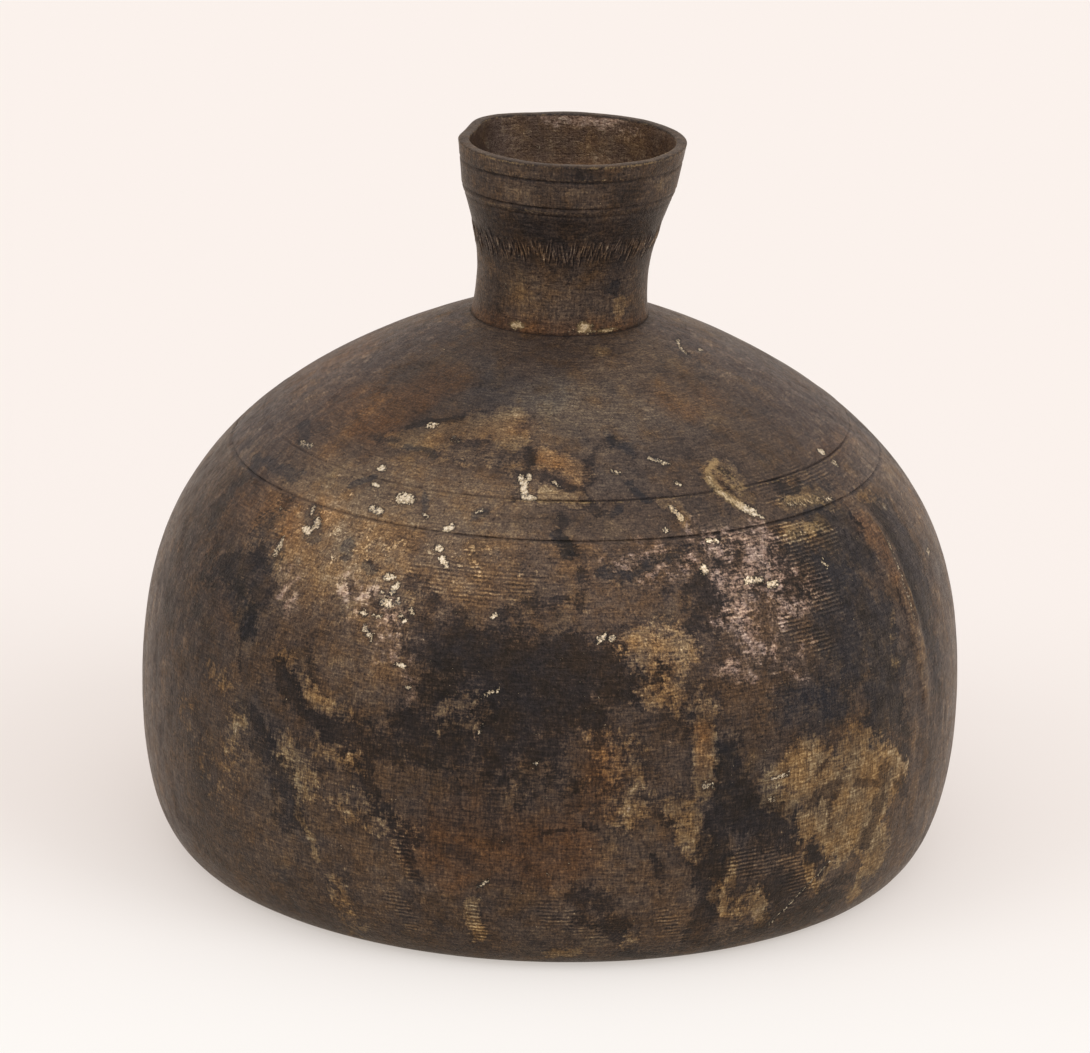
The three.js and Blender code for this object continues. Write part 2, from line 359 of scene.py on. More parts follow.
# Marks on the body, each a half width in mm, a strength, and the (angle, along) points that it runs through
GOLD_MARKS = [
    (3.0, 0.95, (-36, 107.5), (-27, 111)),
    (2.8, 0.95, (-26, 112.5), (-13, 116.5)),
    (2.6, 0.9, (-14, 116), (-9, 111.5)),
    (3.6, 0.5, (-24, 107), (-8, 106)),
    (2.6, 0.9, (-2, 107), (6, 105)),
    (1.6, 1.0, (-1.8, 99.2), (5, 98.8)),
    (2.4, 0.3, (-12, 94), (5, 93)),
    (3.0, 0.3, (-50, 94), (-33, 93)),
    (4.4, 0.3, (-45, 85), (-30, 84)),
    (3.6, 0.3, (-28, 86), (-5, 84)),
    (3.0, 0.85, (12.5, 70), (18, 69.2)),
    (2.6, 0.75, (14, 67), (19, 66)),
    (3.2, 0.72, (15, 61), (21, 57)),
    (2.4, 1.0, (21, 53), (21, 44)),
    (4.6, 0.6, (9, 50), (11, 40)),
    (2.0, 0.7, (-14, 57), (-8, 57)),
    (1.4, 0.7, (-13, 53), (-9, 53)),
    (1.8, 0.62, (-54, 53), (-50, 51)),
    (1.8, 0.6, (-39, 60), (-34, 56)),
    (1.8, 0.7, (-34, 54), (-28, 53)),
    (3.4, 0.64, (-39, 44), (-33, 37)),
    (2.6, 0.62, (-33, 46), (-27, 43)),
    (2.4, 0.6, (-47, 46), (-48, 36)),
    (6.0, 0.42, (-60, 42), (-52, 32)),
    (3.0, 0.55, (-29, 18), (-28, 8)),
    (2.6, 0.8, (18, 39), (21, 29)),
    (2.2, 0.85, (24.5, 20), (28, 15)),
    (1.8, 0.85, (30, 19), (33.5, 11)),
    (1.2, 0.9, (26, 27), (27, 22)),
    (5.0, 1.0, (37, 43), (42, 36)),
    (4.8, 1.0, (39, 33), (45, 27)),
    (5.4, 1.0, (47, 42), (52, 34)),
    (5.0, 1.0, (46, 36), (50, 28)),
    (3.6, 0.95, (53, 39), (56, 34)),
    (2.6, 1.0, (32, 43), (36, 44)),
    (1.8, 1.0, (31.5, 38), (34, 36)),
    (3.8, 0.95, (50, 25), (54, 18)),
    (2.6, 0.8, (51, 17), (51, 11)),
    (0.8, 0.9, (39, 24), (40.5, 20), (42, 16)),
    (0.7, 0.9, (43.5, 23), (42, 19)),
    (1.2, 0.9, (-9.3, 19), (-9.3, 11)),
    (1.3, 0.9, (1.5, 7.5), (4.5, 7.5)),
    (2.0, 0.5, (11, 14), (12, 9)),
    (1.2, 0.6, (58, 68), (57, 56)),
    (2.2, 0.7, (66, 88), (68, 86)),
    (2.6, 1.0, (34, 103), (36.5, 98.5)),
    (1.8, 0.5, (36.5, 105), (38, 102)),
    (1.4, 0.9, (36.5, 97), (38.5, 95.5)),
    (1.8, 1.3, (21, 96), (22.8, 92.5)),
    (1.7, 1.0, (45.5, 93.8), (50, 92.2), (55.5, 90)),
    (1.8, 1.0, (42.2, 87.2), (50.8, 87)),
    (0.8, 0.85, (-37, 42.8), (-34.5, 33), (-32.2, 23.2)),
    (4.0, 0.5, (-27, 36), (-20, 32)),
    (1.8, 0.7, (22, 137), (26, 137)),
    (2.0, 0.6, (-66, 140), (-54, 139.5)),
]
DARK_MARKS = [
    (5.0, 1.0, (-18, 70), (-12, 68)),
    (6.0, 1.0, (-8, 66), (3, 64)),
    (5.0, 1.0, (-6, 58), (4, 58)),
    (4.4, 1.0, (5, 67), (8, 65)),
    (2.6, 0.9, (8, 62), (14, 63)),
    (3.0, 0.8, (-17, 60), (-13, 63)),
    (4.0, 0.9, (-18, 52), (-8, 49)),
    (4.0, 0.9, (-6, 53), (-1, 51)),
    (2.8, 0.7, (-5, 46), (-3, 42)),
    (1.8, 0.7, (1, 45), (4, 44)),
    (2.0, 0.8, (-22, 78.5), (-14, 74)),
    (1.4, 0.7, (-8, 75), (2, 79)),
    (1.8, 0.9, (-40, 58), (-36, 54), (-33, 50), (-28, 49)),
    (3.0, 0.8, (-26, 49), (-20, 48)),
    (1.6, 0.8, (-26, 46), (-25, 43)),
    (1.5, 0.8, (-24, 39), (-23, 36)),
    (1.2, 0.8, (-34.5, 62), (-33.5, 57)),
    (1.8, 0.9, (-44, 47), (-41, 43)),
    (2.2, 0.85, (-43, 42), (-37.5, 38)),
    (2.2, 0.7, (-37, 36), (-38, 28)),
    (2.6, 1.1, (-55, 73), (-51, 76), (-46, 71)),
    (1.4, 0.8, (-47, 68), (-46, 62)),
    (2.0, 0.6, (-56, 70), (-62, 66), (-60, 62)),
    (0.6, 0.8, (-48.5, 64), (-47, 54)),
    (1.5, 0.8, (-53, 88), (-51, 87)),
    (3.0, 1.0, (25, 49), (26, 42)),
    (4.0, 1.0, (25, 39), (28, 36)),
    (3.0, 1.2, (23.5, 36), (23.5, 24)),
    (2.4, 1.2, (23.3, 26), (22.5, 8)),
    (3.6, 0.95, (30, 34), (33, 32)),
    (2.8, 0.8, (32, 30), (36, 27)),
    (2.8, 1.0, (33, 20), (38, 17)),
    (2.4, 0.8, (36, 14), (33, 9)),
    (2.4, 0.8, (38, 12), (46, 12)),
    (2.6, 1.0, (24, 81), (24.5, 73)),
    (1.6, 0.9, (21, 72), (24, 71)),
    (1.4, 0.8, (20, 76), (21, 80)),
    (1.2, 0.9, (-5.8, 108.5), (-6.8, 102.8)),
    (2.4, 0.6, (-4, 103), (0, 103)),
    (0.8, 0.9, (-2, 102.5), (2, 101.3), (6, 101)),
    (0.9, 0.8, (7.5, 103), (8.6, 108), (12.8, 112.8)),
    (1.4, 0.8, (6, 99), (8.5, 96)),
    (1.2, 0.8, (1, 92), (1.5, 94)),
    (0.9, 0.8, (1, 90), (4, 87)),
    (1.0, 0.8, (4.5, 84), (4.5, 78)),
    (1.5, 0.6, (-9, 103), (-8, 100)),
    (0.8, 1.0, (-37, 112), (-33, 113.5), (-28, 115), (-26, 116)),
    (2.4, 0.9, (5, 21), (8, 19)),
    (2.2, 0.8, (6, 16), (9, 15)),
    (1.4, 0.8, (-18.5, 31), (-17, 24)),
    (1.0, 0.7, (14, 29), (15.5, 22)),
    (1.2, 0.6, (15, 38), (18, 36)),
    (2.4, 0.7, (12, 7), (26, 6)),
    (2.8, 0.7, (28, 8), (45, 9)),
    (1.6, 0.7, (43, 17), (47, 16)),
    (2.4, 0.7, (58, 48), (58, 34)),
    (1.6, 0.7, (56, 33), (59, 29)),
    (0.9, 0.9, (38, 36), (40, 37)),
    (0.8, 0.9, (41.5, 35), (42.5, 30)),
    (1.0, 0.7, (50.5, 31), (52, 34)),
    (0.8, 0.9, (39.5, 41), (41, 42)),
    (1.4, 0.8, (40, 24), (42, 22)),
    (0.6, 0.8, (0, 35), (7, 36)),
    (0.5, 0.8, (-33, 40), (-27, 41.5)),
    (0.6, 0.8, (35.5, 103.5), (37.5, 99)),
    (0.5, 0.8, (34.2, 100.5), (36, 97)),
    (1.4, 0.8, (46, 97), (50, 95.5)),
    (0.5, 1.0, (60.2, 86), (60.9, 79), (61.2, 72), (61.4, 62)),
    (6.0, 0.5, (29, 84), (40, 77)),
    (3.2, 0.5, (54, 85), (59, 79)),
    (3.4, 0.4, (48, 75), (52, 65)),
    (3.4, 0.4, (54, 62), (55, 50)),
    (1.5, 0.9, (66.2, 84), (66.4, 78), (66.2, 68), (66.4, 58)),
    (2.4, 0.8, (-39, 38), (-35, 31)),
    (1.6, 0.8, (-28, 46), (-23, 36), (-17.8, 31.5)),
    (1.7, 0.85, (-55, 72), (-45, 68)),
    (1.1, 1.3, (52.8, 37.5), (51.8, 30.2), (50, 23)),
    (1.0, 1.2, (41, 37.2), (43, 36.4)),
    (0.8, 1.2, (47, 36.2), (51, 35.6)),
    (1.6, 1.0, (39, 85.5), (38.6, 77)),
    (0.6, 0.9, (-31.5, 77), (-30.5, 74.5)),
    (0.7, 0.9, (-29, 82), (-27.5, 80.5)),
    (0.6, 0.9, (-24.8, 72.8), (-22.6, 70.5)),
    (0.5, 0.9, (-27.8, 75.4), (-26, 73)),
]
SLATE_MARKS = [
    (5.0, 0.9, (53, 86), (59, 80)),
    (6.0, 0.85, (48, 76), (52, 64)),
    (6.0, 0.85, (54, 64), (54, 50)),
    (4.0, 0.9, (44, 67), (47, 60)),
    (3.0, 0.7, (44, 84), (48, 80)),
    (4.0, 0.6, (33, 56), (44, 54)),
    (3.6, 1.0, (70, 83), (69, 75), (68.5, 65)),
    (3.0, 0.7, (68, 60), (70, 48)),
    (3.4, 0.7, (-60, 71), (-52, 69), (-47, 64)),
    (4.0, 0.7, (-52, 80), (-48, 77)),
    (2.2, 0.8, (-67, 89), (-67, 78)),
    (1.5, 0.7, (-68, 92), (-54, 93)),
    (1.5, 0.7, (8, 83), (14, 84)),
    (1.6, 0.7, (14, 86), (22, 86)),
    (2.0, 0.5, (13, 112), (18, 111)),
    (1.4, 0.7, (-42, 107), (-38, 106.5)),
    (0.9, 0.8, (-32, 106), (-28, 107), (-26, 105)),
    (2.0, 0.6, (46, 95), (58, 93)),
    (3.0, 0.5, (58, 133), (60, 128)),
    (0.9, 0.9, (-34.6, 85), (-34.3, 81.5)),
    (1.0, 0.9, (-29.5, 81.5), (-28, 80)),
    (1.2, 0.9, (-65, 102.5), (-60.5, 101)),
    (1.0, 0.9, (-38.5, 95), (-36.5, 97)),
    (1.4, 0.9, (-44.5, 88), (-41.5, 84)),
    (1.0, 0.8, (-24.5, 97), (-22.5, 95)),
    (1.0, 0.8, (-14.5, 93.5), (-12.5, 94.5)),
    (0.9, 0.9, (0.5, 91), (3.5, 86.5)),
    (1.4, 0.7, (12.5, 113.5), (16, 110)),
    (0.9, 0.8, (11, 95.5), (13, 96)),
    (1.0, 0.7, (15, 101.5), (18, 97.5)),
]
HAZE_MARKS = [
    (4.8, 1.0, (-29, 126), (-15, 123), (-4, 125)),
    (6.0, 0.45, (4, 120), (20, 112)),
    (3.0, 0.5, (9, 104), (16, 103)),
    (6.0, 0.5, (20, 118), (40, 116)),
    (7.0, 0.5, (50, 80), (54, 56)),
    (5.0, 0.5, (69, 80), (68, 56)),
    (6.0, 0.6, (25, 46), (28, 34)),
    (5.0, 0.6, (38, 56), (46, 58)),
    (6.0, 0.9, (-56, 72), (-48, 66)),
    (5.0, 0.7, (-44, 46), (-36, 32)),
    (6.0, 0.5, (-14, 64), (-4, 60)),
]
RUST_MARKS = [
    (2.2, 0.9, (61.8, 82), (62.6, 72)),
    (10.0, 0.5, (-60, 106), (-48, 110)),
    (4.6, 1.0, (-45, 110), (-42.8, 117), (-39, 124)),
    (7.0, 0.62, (-62, 84), (-50, 83)),
    (4.0, 0.8, (-60, 71), (-52, 65)),
    (6.0, 0.8, (-14, 32), (2, 32)),
    (4.0, 0.7, (-12, 24), (-10, 38)),
    (5.0, 0.6, (36, 121), (48, 120)),
    (3.0, 0.7, (68, 98.5), (80, 98.5)),
    (2.0, 0.8, (21, 52), (21, 47)),
    (4.0, 0.5, (8, 48), (6, 40)),
    (2.6, 0.7, (-2, 107), (6, 105)),
    (3.4, 0.6, (-26, 112), (-11, 115)),
]
# Silver patches below the girth line on both sides: bare metal, and painted sheen where the lamps light the
# wall
SILVER_AND_SHEEN_MARKS = [
    (4.4, 0.85, (28, 87), (37, 86)),
    (4.4, 0.9, (29, 80), (38, 79)),
    (3.8, 0.84, (27.5, 76), (31, 66)),
    (3.0, 0.7, (16, 82), (24, 88)),
    (3.0, 0.8, (36, 72), (43, 76)),
    (3.4, 0.66, (26, 64), (38, 63)),
    (2.4, 0.6, (10, 86), (16, 88)),
    (3.0, 0.68, (-31, 76), (-24, 72)),
    (2.6, 0.6, (-28, 70), (-23, 66)),
    (2.0, 0.6, (-43, 75), (-40, 70)),
    (2.0, 0.5, (-21, 66), (-20, 58)),
]
COMB_MARKS = [
    (2.6, 1.0, (27, 26), (31, 25)),
    (2.6, 1.0, (35, 23), (39, 19)),
    (1.6, 0.9, (-19, 30), (-18, 25)),
    (1.8, 0.8, (-20.5, 19), (-18.5, 12)),
    (1.6, 0.8, (-9, 17), (-9, 11)),
    (2.6, 0.7, (0, 19), (6, 13)),
    (2.4, 1.0, (41, 86.8), (51, 84.5)),
    (2.4, 1.0, (43, 81), (44.5, 72)),
    (2.4, 0.9, (36.5, 69.5), (42.5, 64)),
    (2.0, 0.7, (16, 17), (20, 12)),
    (2.6, 0.5, (-8, 43), (-5, 41)),
    (4.0, 0.6, (-20, 82), (-4, 80)),
    (3.0, 0.7, (44, 97), (60, 95)),
]
CREAM_MARKS = [
    (0.8, 1.0, (-36.2, 100.4), (-35.8, 100.4)),
    (0.7, 0.6, (-60, 99.8), (-56.5, 99.8)),
    (0.5, 0.9, (-35.3, 96.5), (-34.5, 96.3)),
    (0.5, 0.6, (-23.5, 92.8), (-22.3, 92.2)),
    (0.4, 0.8, (-52, 86.2), (-51.4, 85.8)),
    (0.5, 0.6, (12, 105.2), (13, 104.6)),
    (0.5, 0.7, (24.6, 101.8), (25.4, 101)),
    (1.1, 1.0, (-29, 95.2), (-27.3, 95.3)),
    (0.6, 0.9, (-33.3, 91.9), (-31.5, 91.5)),
    (0.8, 1.0, (-42.6, 86.6), (-42.2, 86)),
    (0.7, 1.0, (-44, 84.5), (-42.8, 84.3)),
    (0.6, 0.65, (-44.8, 88.5), (-44.4, 87.5)),
    (0.8, 0.65, (-47.2, 81), (-47.3, 78)),
    (0.6, 0.6, (-24.5, 110.6), (-23, 110.6)),
    (0.8, 0.6, (-32, 112.6), (-30.5, 113)),
    (0.7, 1.0, (-7.2, 102.8), (-6.3, 101), (-6, 99.6)),
    (0.6, 1.0, (-6, 98.9), (-3.8, 98.6)),
    (0.6, 1.0, (-5.6, 103.4), (-5.5, 102.8)),
    (0.6, 0.6, (0, 102.2), (1, 101.2)),
    (0.6, 1.0, (-18.5, 90.4), (-17.5, 91)),
    (0.7, 1.0, (-18.6, 86.4), (-18, 86.2)),
    (0.6, 1.0, (-17.5, 84.5), (-16.5, 83.5)),
    (0.5, 0.6, (-14, 94.5), (-13, 94.8)),
    (0.6, 0.65, (20.5, 107.6), (24.5, 106.2)),
    (0.7, 0.9, (21.3, 95.6), (22.6, 93)),
    (0.5, 0.8, (19, 91.2), (19.2, 91)),
    (0.6, 0.6, (32, 102), (31.8, 99)),
    (0.7, 0.8, (32.2, 98.2), (35.5, 94.4)),
    (0.9, 1.0, (35.5, 94.4), (37.6, 92.6)),
    (0.4, 0.9, (37.6, 92.6), (39.2, 91.2)),
    (0.8, 1.0, (65.3, 99.6), (65.8, 99.4)),
    (0.7, 0.8, (66, 96.4), (66.2, 95.8)),
    (0.8, 0.5, (46, 92.5), (51, 91.5), (57, 90.2)),
    (0.8, 0.5, (43, 87), (46, 86)),
    (0.6, 0.9, (26.5, 88), (28, 87.8)),
    (0.7, 0.9, (24.6, 83.4), (24.6, 82.6)),
    (0.6, 1.0, (31, 79.6), (34, 79.3)),
    (0.6, 1.0, (35, 78.3), (36.5, 78.2)),
    (0.7, 0.6, (46.8, 79.8), (46.9, 79.2)),
    (0.9, 0.7, (77.6, 71), (78.4, 71)),
    (0.6, 0.9, (7, 70.8), (7.8, 71.5)),
    (0.5, 0.9, (8.6, 71), (8.8, 70.8)),
    (0.7, 1.0, (-25.8, 79.2), (-25.3, 79)),
    (0.6, 1.0, (-24, 77.8), (-24.2, 76.2)),
    (0.7, 0.9, (-25.5, 74.5), (-24, 74)),
    (0.7, 0.9, (-28.2, 72), (-27.8, 71.8)),
    (0.6, 0.9, (-27.5, 69), (-26.2, 67.5)),
    (0.5, 1.0, (-21.6, 63.4), (-20.7, 63.5)),
    (0.5, 1.0, (-19.8, 59.6), (-19.6, 59.4)),
    (0.45, 0.9, (-8.7, 74.3), (-8.2, 75.2)),
    (0.45, 0.9, (-1.7, 47.7), (-1.5, 47.5)),
    (0.4, 0.7, (-9, 59.3), (-7, 61.3)),
    (0.4, 0.6, (-9, 52.5), (-8.5, 54)),
    (0.4, 0.8, (-8.8, 22.8), (-7.5, 24.6)),
    (0.8, 0.6, (21, 43.2), (22.2, 42.8)),
    (0.6, 0.62, (31.5, 42.2), (34, 42.3)),
    (0.6, 0.62, (31.4, 38.2), (31.8, 37.8)),
    (0.5, 0.64, (61.5, 131), (62, 133), (66, 134.5), (70, 134.8)),
    (0.45, 0.7, (70, 130), (73, 130)),
    (0.5, 0.5, (64.3, 78), (63.5, 70), (63.6, 62)),
    (0.3, 0.6, (34.5, 10), (37, 14.5), (40, 18.5), (43, 22)),
    (0.4, 0.85, (-26.5, 71.6), (-25.2, 71.9)),
    (0.4, 0.8, (-22.2, 72.4), (-21.2, 71.6)),
    (0.35, 0.8, (-23.2, 75.2), (-22.8, 74.2)),
    (0.35, 0.8, (-26.2, 76.2), (-25.6, 75.8)),
    (0.4, 0.7, (-20.7, 73.8), (-20.3, 73.2)),
]
RIDGE_ROUTE = [
    (0.9, 0.9, (35.5, 105), (33, 103.5), (32, 101.5)),
    (1.1, 1.0, (31.9, 101), (32.5, 98), (35.5, 94.6)),
    (1.8, 0.5, (34.5, 103), (37.5, 98)),
    (0.9, 0.7, (21.2, 95.8), (22.7, 92.8)),
    (1.2, 0.7, (46, 93.6), (54, 90.6)),
    (1.4, 0.7, (43, 87), (49, 86.6)),
    (0.45, 0.6, (63.6, 84), (64.3, 76)),
    (0.45, 0.6, (64.6, 72), (64.7, 62)),
    (0.4, 0.5, (65, 58), (65.4, 50)),
]

# A raised strip of paler metal down the right side
STRIP_ROUTE = [
    (3.0, 0.8, (61.8, 81), (62.2, 75)),
    (1.7, 0.9, (61.2, 88.5), (62.4, 82), (62.9, 74)),
    (2.0, 1.0, (62.9, 74), (63.3, 64), (63.8, 56)),
    (1.3, 0.7, (63.8, 56), (64.6, 46)),
]

# Broad areas a little paler or dimmer than the rest; some of the pale ones are painted sheen
PALE_AREAS_AND_SHEEN = [
    (3.0, 0.8, (31.5, 43.5), (38, 42.5)),
    # Painted sheen of the lamps on the upper left wall
    (13.0, 1.6, (-44, 84), (-20, 86)),
    (7.0, 0.8, (-34, 76), (-27, 62)),
    (10.0, 0.5, (-40, 30), (-24, 26)),
    (9.0, 0.84, (0, 120), (16, 121)),
    (20.0, 0.35, (-5, 128), (18, 128)),
    (12.0, 0.4, (52, 36), (44, 30)),
    # Painted grey sheen along the right edge
    (9.0, 0.65, (80, 40), (80, 88)),
    (8.0, 0.25, (50, 78), (54, 56)),
]
DIM_AREAS = [
    (14.0, 0.6, (-50, 132), (-32, 132)),
    (16.0, 0.3, (-70, 60), (-70, 90)),
    (10.0, 0.26, (-18, 62), (8, 58)),
    (2.6, 0.3, (-40, 94.5), (10, 94.5)),
]

# Stains of the body, the silver one partly painted sheen, in the order of the seeds that move their copies to
# the back
BODY_STAINS = {
    "gold": GOLD_MARKS,
    "dark": DARK_MARKS,
    "slate": SLATE_MARKS,
    "rust": RUST_MARKS,
    "silver": SILVER_AND_SHEEN_MARKS,
    "comb": COMB_MARKS,
    "haze": HAZE_MARKS,
}
CHIP_SEED = 8

# Where chance may move marks on the unseen back
BACK_ANGLES = (95, 258)
BACK_RISE = 6.0

# Edges of the marks: the end of a mark's core and of its fade in half widths, and how far an outline wanders
CORE = 0.3
STAIN_FADE = 2.2
CHIP_FADE = 1.7
CHIP_WANDER = 0.3
# Layers of that wandering, each a reach and a size in mm
MARK_WANDER = [(1.5, 7.0), (0.8, 2.6)]
STRIP_PALENESS = 0.8

# Angles from the front where scuffs and a painted grey sheen of the sides start and are full, and where they
# calm down again
SCUFF_AND_SHEEN_ANGLES = (40, 80)
CALM_ANGLES = (80, 110)
CALMING = 0.75

# Marks on the neck, each a strength, an angle, a height, a half angle and a half height
# Glints on the neck's foot are painted highlights on its worn edge, drawn as cream chips and worn metal
NECK_GLINTS = [(1.0, 16, 1.9, 5, 1.1), (0.8, 32, 0.9, 9, 0.4), (0.9, -29, 1.6, 6, 0.8)]
BAND_GOLD = [
    (1.0, -31, LIP_MIDDLE, 14, 1.0),
    (1.0, -28, BAND_MIDDLE, 9, 1.6),
    (0.8, 2, BAND_MIDDLE + 0.8, 6, 1.0),
]
FOOT_GOLD = [(1.1, 43, 5.0, 8, 2.6)]
NECK_DARK = [(1.0, 3, LIP_MIDDLE, 13, 1.8), (1.0, 30, BAND_MIDDLE, 9, 2.4), (1.0, -48, 6.5, 9, 4.0)]
NECK_SLATE = [(0.8, 37, 9, 9, 2.6)]
NECK_OLIVE = [(0.5, -13, 9, 22, 3.5)]
GREY_END = [(1.0, 55, BAND_MIDDLE + 0.8, 8, 1.6)]
INSIDE_PALE = [(0.5, 170, NECK_HEIGHT - 9, 45, 5)]

# Sides of the neck, each an angle and a half angle
# The front of the lip's inner edge, where a highlight is painted
LIP_HIGHLIGHT_SIDE = (15, 60)
GLINT_SIDE = (160, 26)
FAINT_GLINT_SIDE = (-170, 30)
SHADY_SIDE = (-115, 30)
HAZY_SIDE = (-115, 45)

# Heights on the neck between which its stains rise or fall
FOOT_RUST = (1, 6)
FOOT_PALE = (5, 10)
WAIST_DARK = (11, 16)
WAIST_DARK_END = (22, FLARE_HEIGHT)
INSIDE_RUST = (NECK_HEIGHT - 14, NECK_HEIGHT - 4)
BACK_LIP = (NECK_HEIGHT - 4, NECK_HEIGHT - 2)
LIP_TOP = (NECK_HEIGHT - LIP_ROUNDING, NECK_HEIGHT - 0.2)
LIP_WEAR_HEIGHT = NECK_HEIGHT - 0.35


# Steady noise

def lattice_value(x, y, z, seed):
    """A steady random number from 0 to 1 for each corner of a lattice."""
    mixed = (x * 73856093) ^ (y * 19349663) ^ (z * 83492791) ^ (seed * 40503)
    mixed = mixed & 0xFFFFFFFF
    mixed = ((mixed ^ (mixed >> 15)) * 739982445) & 0xFFFFFFFF
    mixed = ((mixed ^ (mixed >> 12)) * 695872825) & 0xFFFFFFFF
    return (mixed ^ (mixed >> 16)) / 0xFFFFFFFF


def noise(points, size, seed):
    """Smooth noise from -1 to 1 over points, with features of a size in mm."""
    cells = points / size
    corner = np.floor(cells).astype(np.int64)
    part = cells - corner
    part = part * part * (3 - 2 * part)
    total = np.zeros(len(points))
    for offset in np.ndindex(2, 2, 2):
        x, y, z = (corner + offset).T
        weight = np.prod(np.where(offset, part, 1 - part), axis=1)
        total += weight * lattice_value(x, y, z, seed)
    return 2 * total - 1


def fractal(points, size, octaves, seed):
    """Noise whose finer layers each have half the size and strength of the last."""
    return sum(noise(points, size / 2**octave, seed + octave) / 2**octave for octave in range(octaves))


def smooth_rise(value, low, high):
    """0 below low, 1 above high, and a smooth rise between."""
    share = np.clip((value - low) / (high - low), 0, 1)
    return share * share * (3 - 2 * share)


def smooth_fall(value, low, high):
    """1 below low, 0 above high, and a smooth fall between."""
    return 1 - smooth_rise(value, low, high)


def turned_line(place, centre, width):
    """1 in the middle of a turned line, fading to 0 at its sides."""
    return np.clip(1 - np.abs(place - centre) / (width / 2), 0, 1)


def angle_between(angle, start):
    """The turn from a start to an angle, from -180 to 180 degrees."""
    return (angle - start + 180) % 360 - 180


# Outline

def body_radius(height):
    """Outside radius of the body at a height: a dome above, and a foot that curls in below."""
    rise = np.maximum(0, height - DOME_START) / (APEX_HEIGHT - DOME_START)
    drop = np.maximum(0, FOOT_START - height) / FOOT_START
    dome = (1 - rise**DOME_HEIGHT_POWER) ** (1 / DOME_RADIUS_POWER)
    curl = (1 - drop**FOOT_HEIGHT_POWER) ** (1 / FOOT_RADIUS_POWER)
    return BODY_RADIUS * dome - FOOT_INSET * (1 - curl)


def dome_height(radius):
    """Height of the dome's outside at a radius."""
    reach = (radius / BODY_RADIUS) ** DOME_RADIUS_POWER
    return DOME_START + (APEX_HEIGHT - DOME_START) * (1 - reach) ** (1 / DOME_HEIGHT_POWER)


def inside_of(curve, place):
    """An outside curve of the body moved in by the wall, square to its slope."""
    half = 0.01
    slope = (curve(place + half) - curve(place - half)) / (2 * half)
    return curve(place) - BODY_WALL * np.hypot(1, slope)


def wall_inside(height):
    return inside_of(body_radius, height)


def dome_inside(radius):
    return inside_of(dome_height, radius)


def neck_radius(height):
    """Outside radius of the neck at a height above its foot."""
    low = np.clip(1 - height / WAIST_HEIGHT, 0, 1)
    flare = np.clip((height - WAIST_HEIGHT) / (FLARE_HEIGHT - WAIST_HEIGHT), 0, 1)
    band = np.clip((height - FLARE_HEIGHT) / (NECK_HEIGHT - FLARE_HEIGHT), 0, 1)
    radius = WAIST_RADIUS + (NECK_FOOT_RADIUS - WAIST_RADIUS) * low**2
    radius = radius + (FLARE_RADIUS - WAIST_RADIUS) * flare**FLARE_POWER
    return radius + (MOUTH_RADIUS - FLARE_RADIUS) * band


def neck_inside(height):
    return neck_radius(height) - NECK_WALL


def run_along(outline):
    """Distance along an outline to each of its points."""
    steps = np.hypot(*np.diff(outline, axis=0).T)
    return np.concatenate([[0], np.cumsum(steps)])


def evenly(outline, step):
    """An outline's points moved to even steps along it."""
    run = run_along(outline)
    places = np.linspace(0, run[-1], max(2, round(run[-1] / step) + 1))
    return np.stack([np.interp(places, run, side) for side in outline.T], axis=1)


def by_height(curve, low, high, step, crowd=1.0):
    """Even points on a curve that gives a radius for each height.

    A crowd over 1 packs the trial points low down, where the foot curls in fast.
    """
    heights = low + (high - low) * np.linspace(0, 1, TRIAL_POINTS) ** crowd
    return evenly(np.stack([curve(heights), heights], axis=1), step)


def by_radius(curve, start, end, step):
    """Even points on a curve that gives a height for each radius."""
    radii = np.linspace(start, end, TRIAL_POINTS)
    return evenly(np.stack([radii, curve(radii)], axis=1), step)


# Outside of the body from floor to seat, for turning places along it into radii
WALL_OUTSIDE = by_height(body_radius, 0, SEAM_BOTTOM, WALL_STEP, crowd=2.0)
LINE_BELOW = body_radius(LINE_HEIGHT - LINE_REACH)
LINE_ABOVE = body_radius(LINE_HEIGHT + LINE_REACH)
SHOULDER_OUTSIDE = np.concatenate(
    [
        by_radius(dome_height, body_radius(SEAM_TOP), LINE_BELOW, SHOULDER_STEP)[:-1],
        by_radius(dome_height, LINE_BELOW, LINE_ABOVE, LINE_STEP)[:-1],
        by_radius(dome_height, LINE_ABOVE, SEAT_RADIUS, SHOULDER_STEP),
    ]
)
BODY_OUTSIDE = np.concatenate([WALL_OUTSIDE, SHOULDER_OUTSIDE])
BODY_RUN = run_along(BODY_OUTSIDE)
SEAT_ALONG = BODY_RUN[-1]
LINE_ALONG = float(np.interp(LINE_HEIGHT, BODY_OUTSIDE[:, 1], BODY_RUN))


# Meshes

def crowd_front(turn):
    """An angle moved towards the front, where the marks are finest."""
    return turn - np.degrees(FRONT_CROWDING * np.sin(np.radians(turn)))


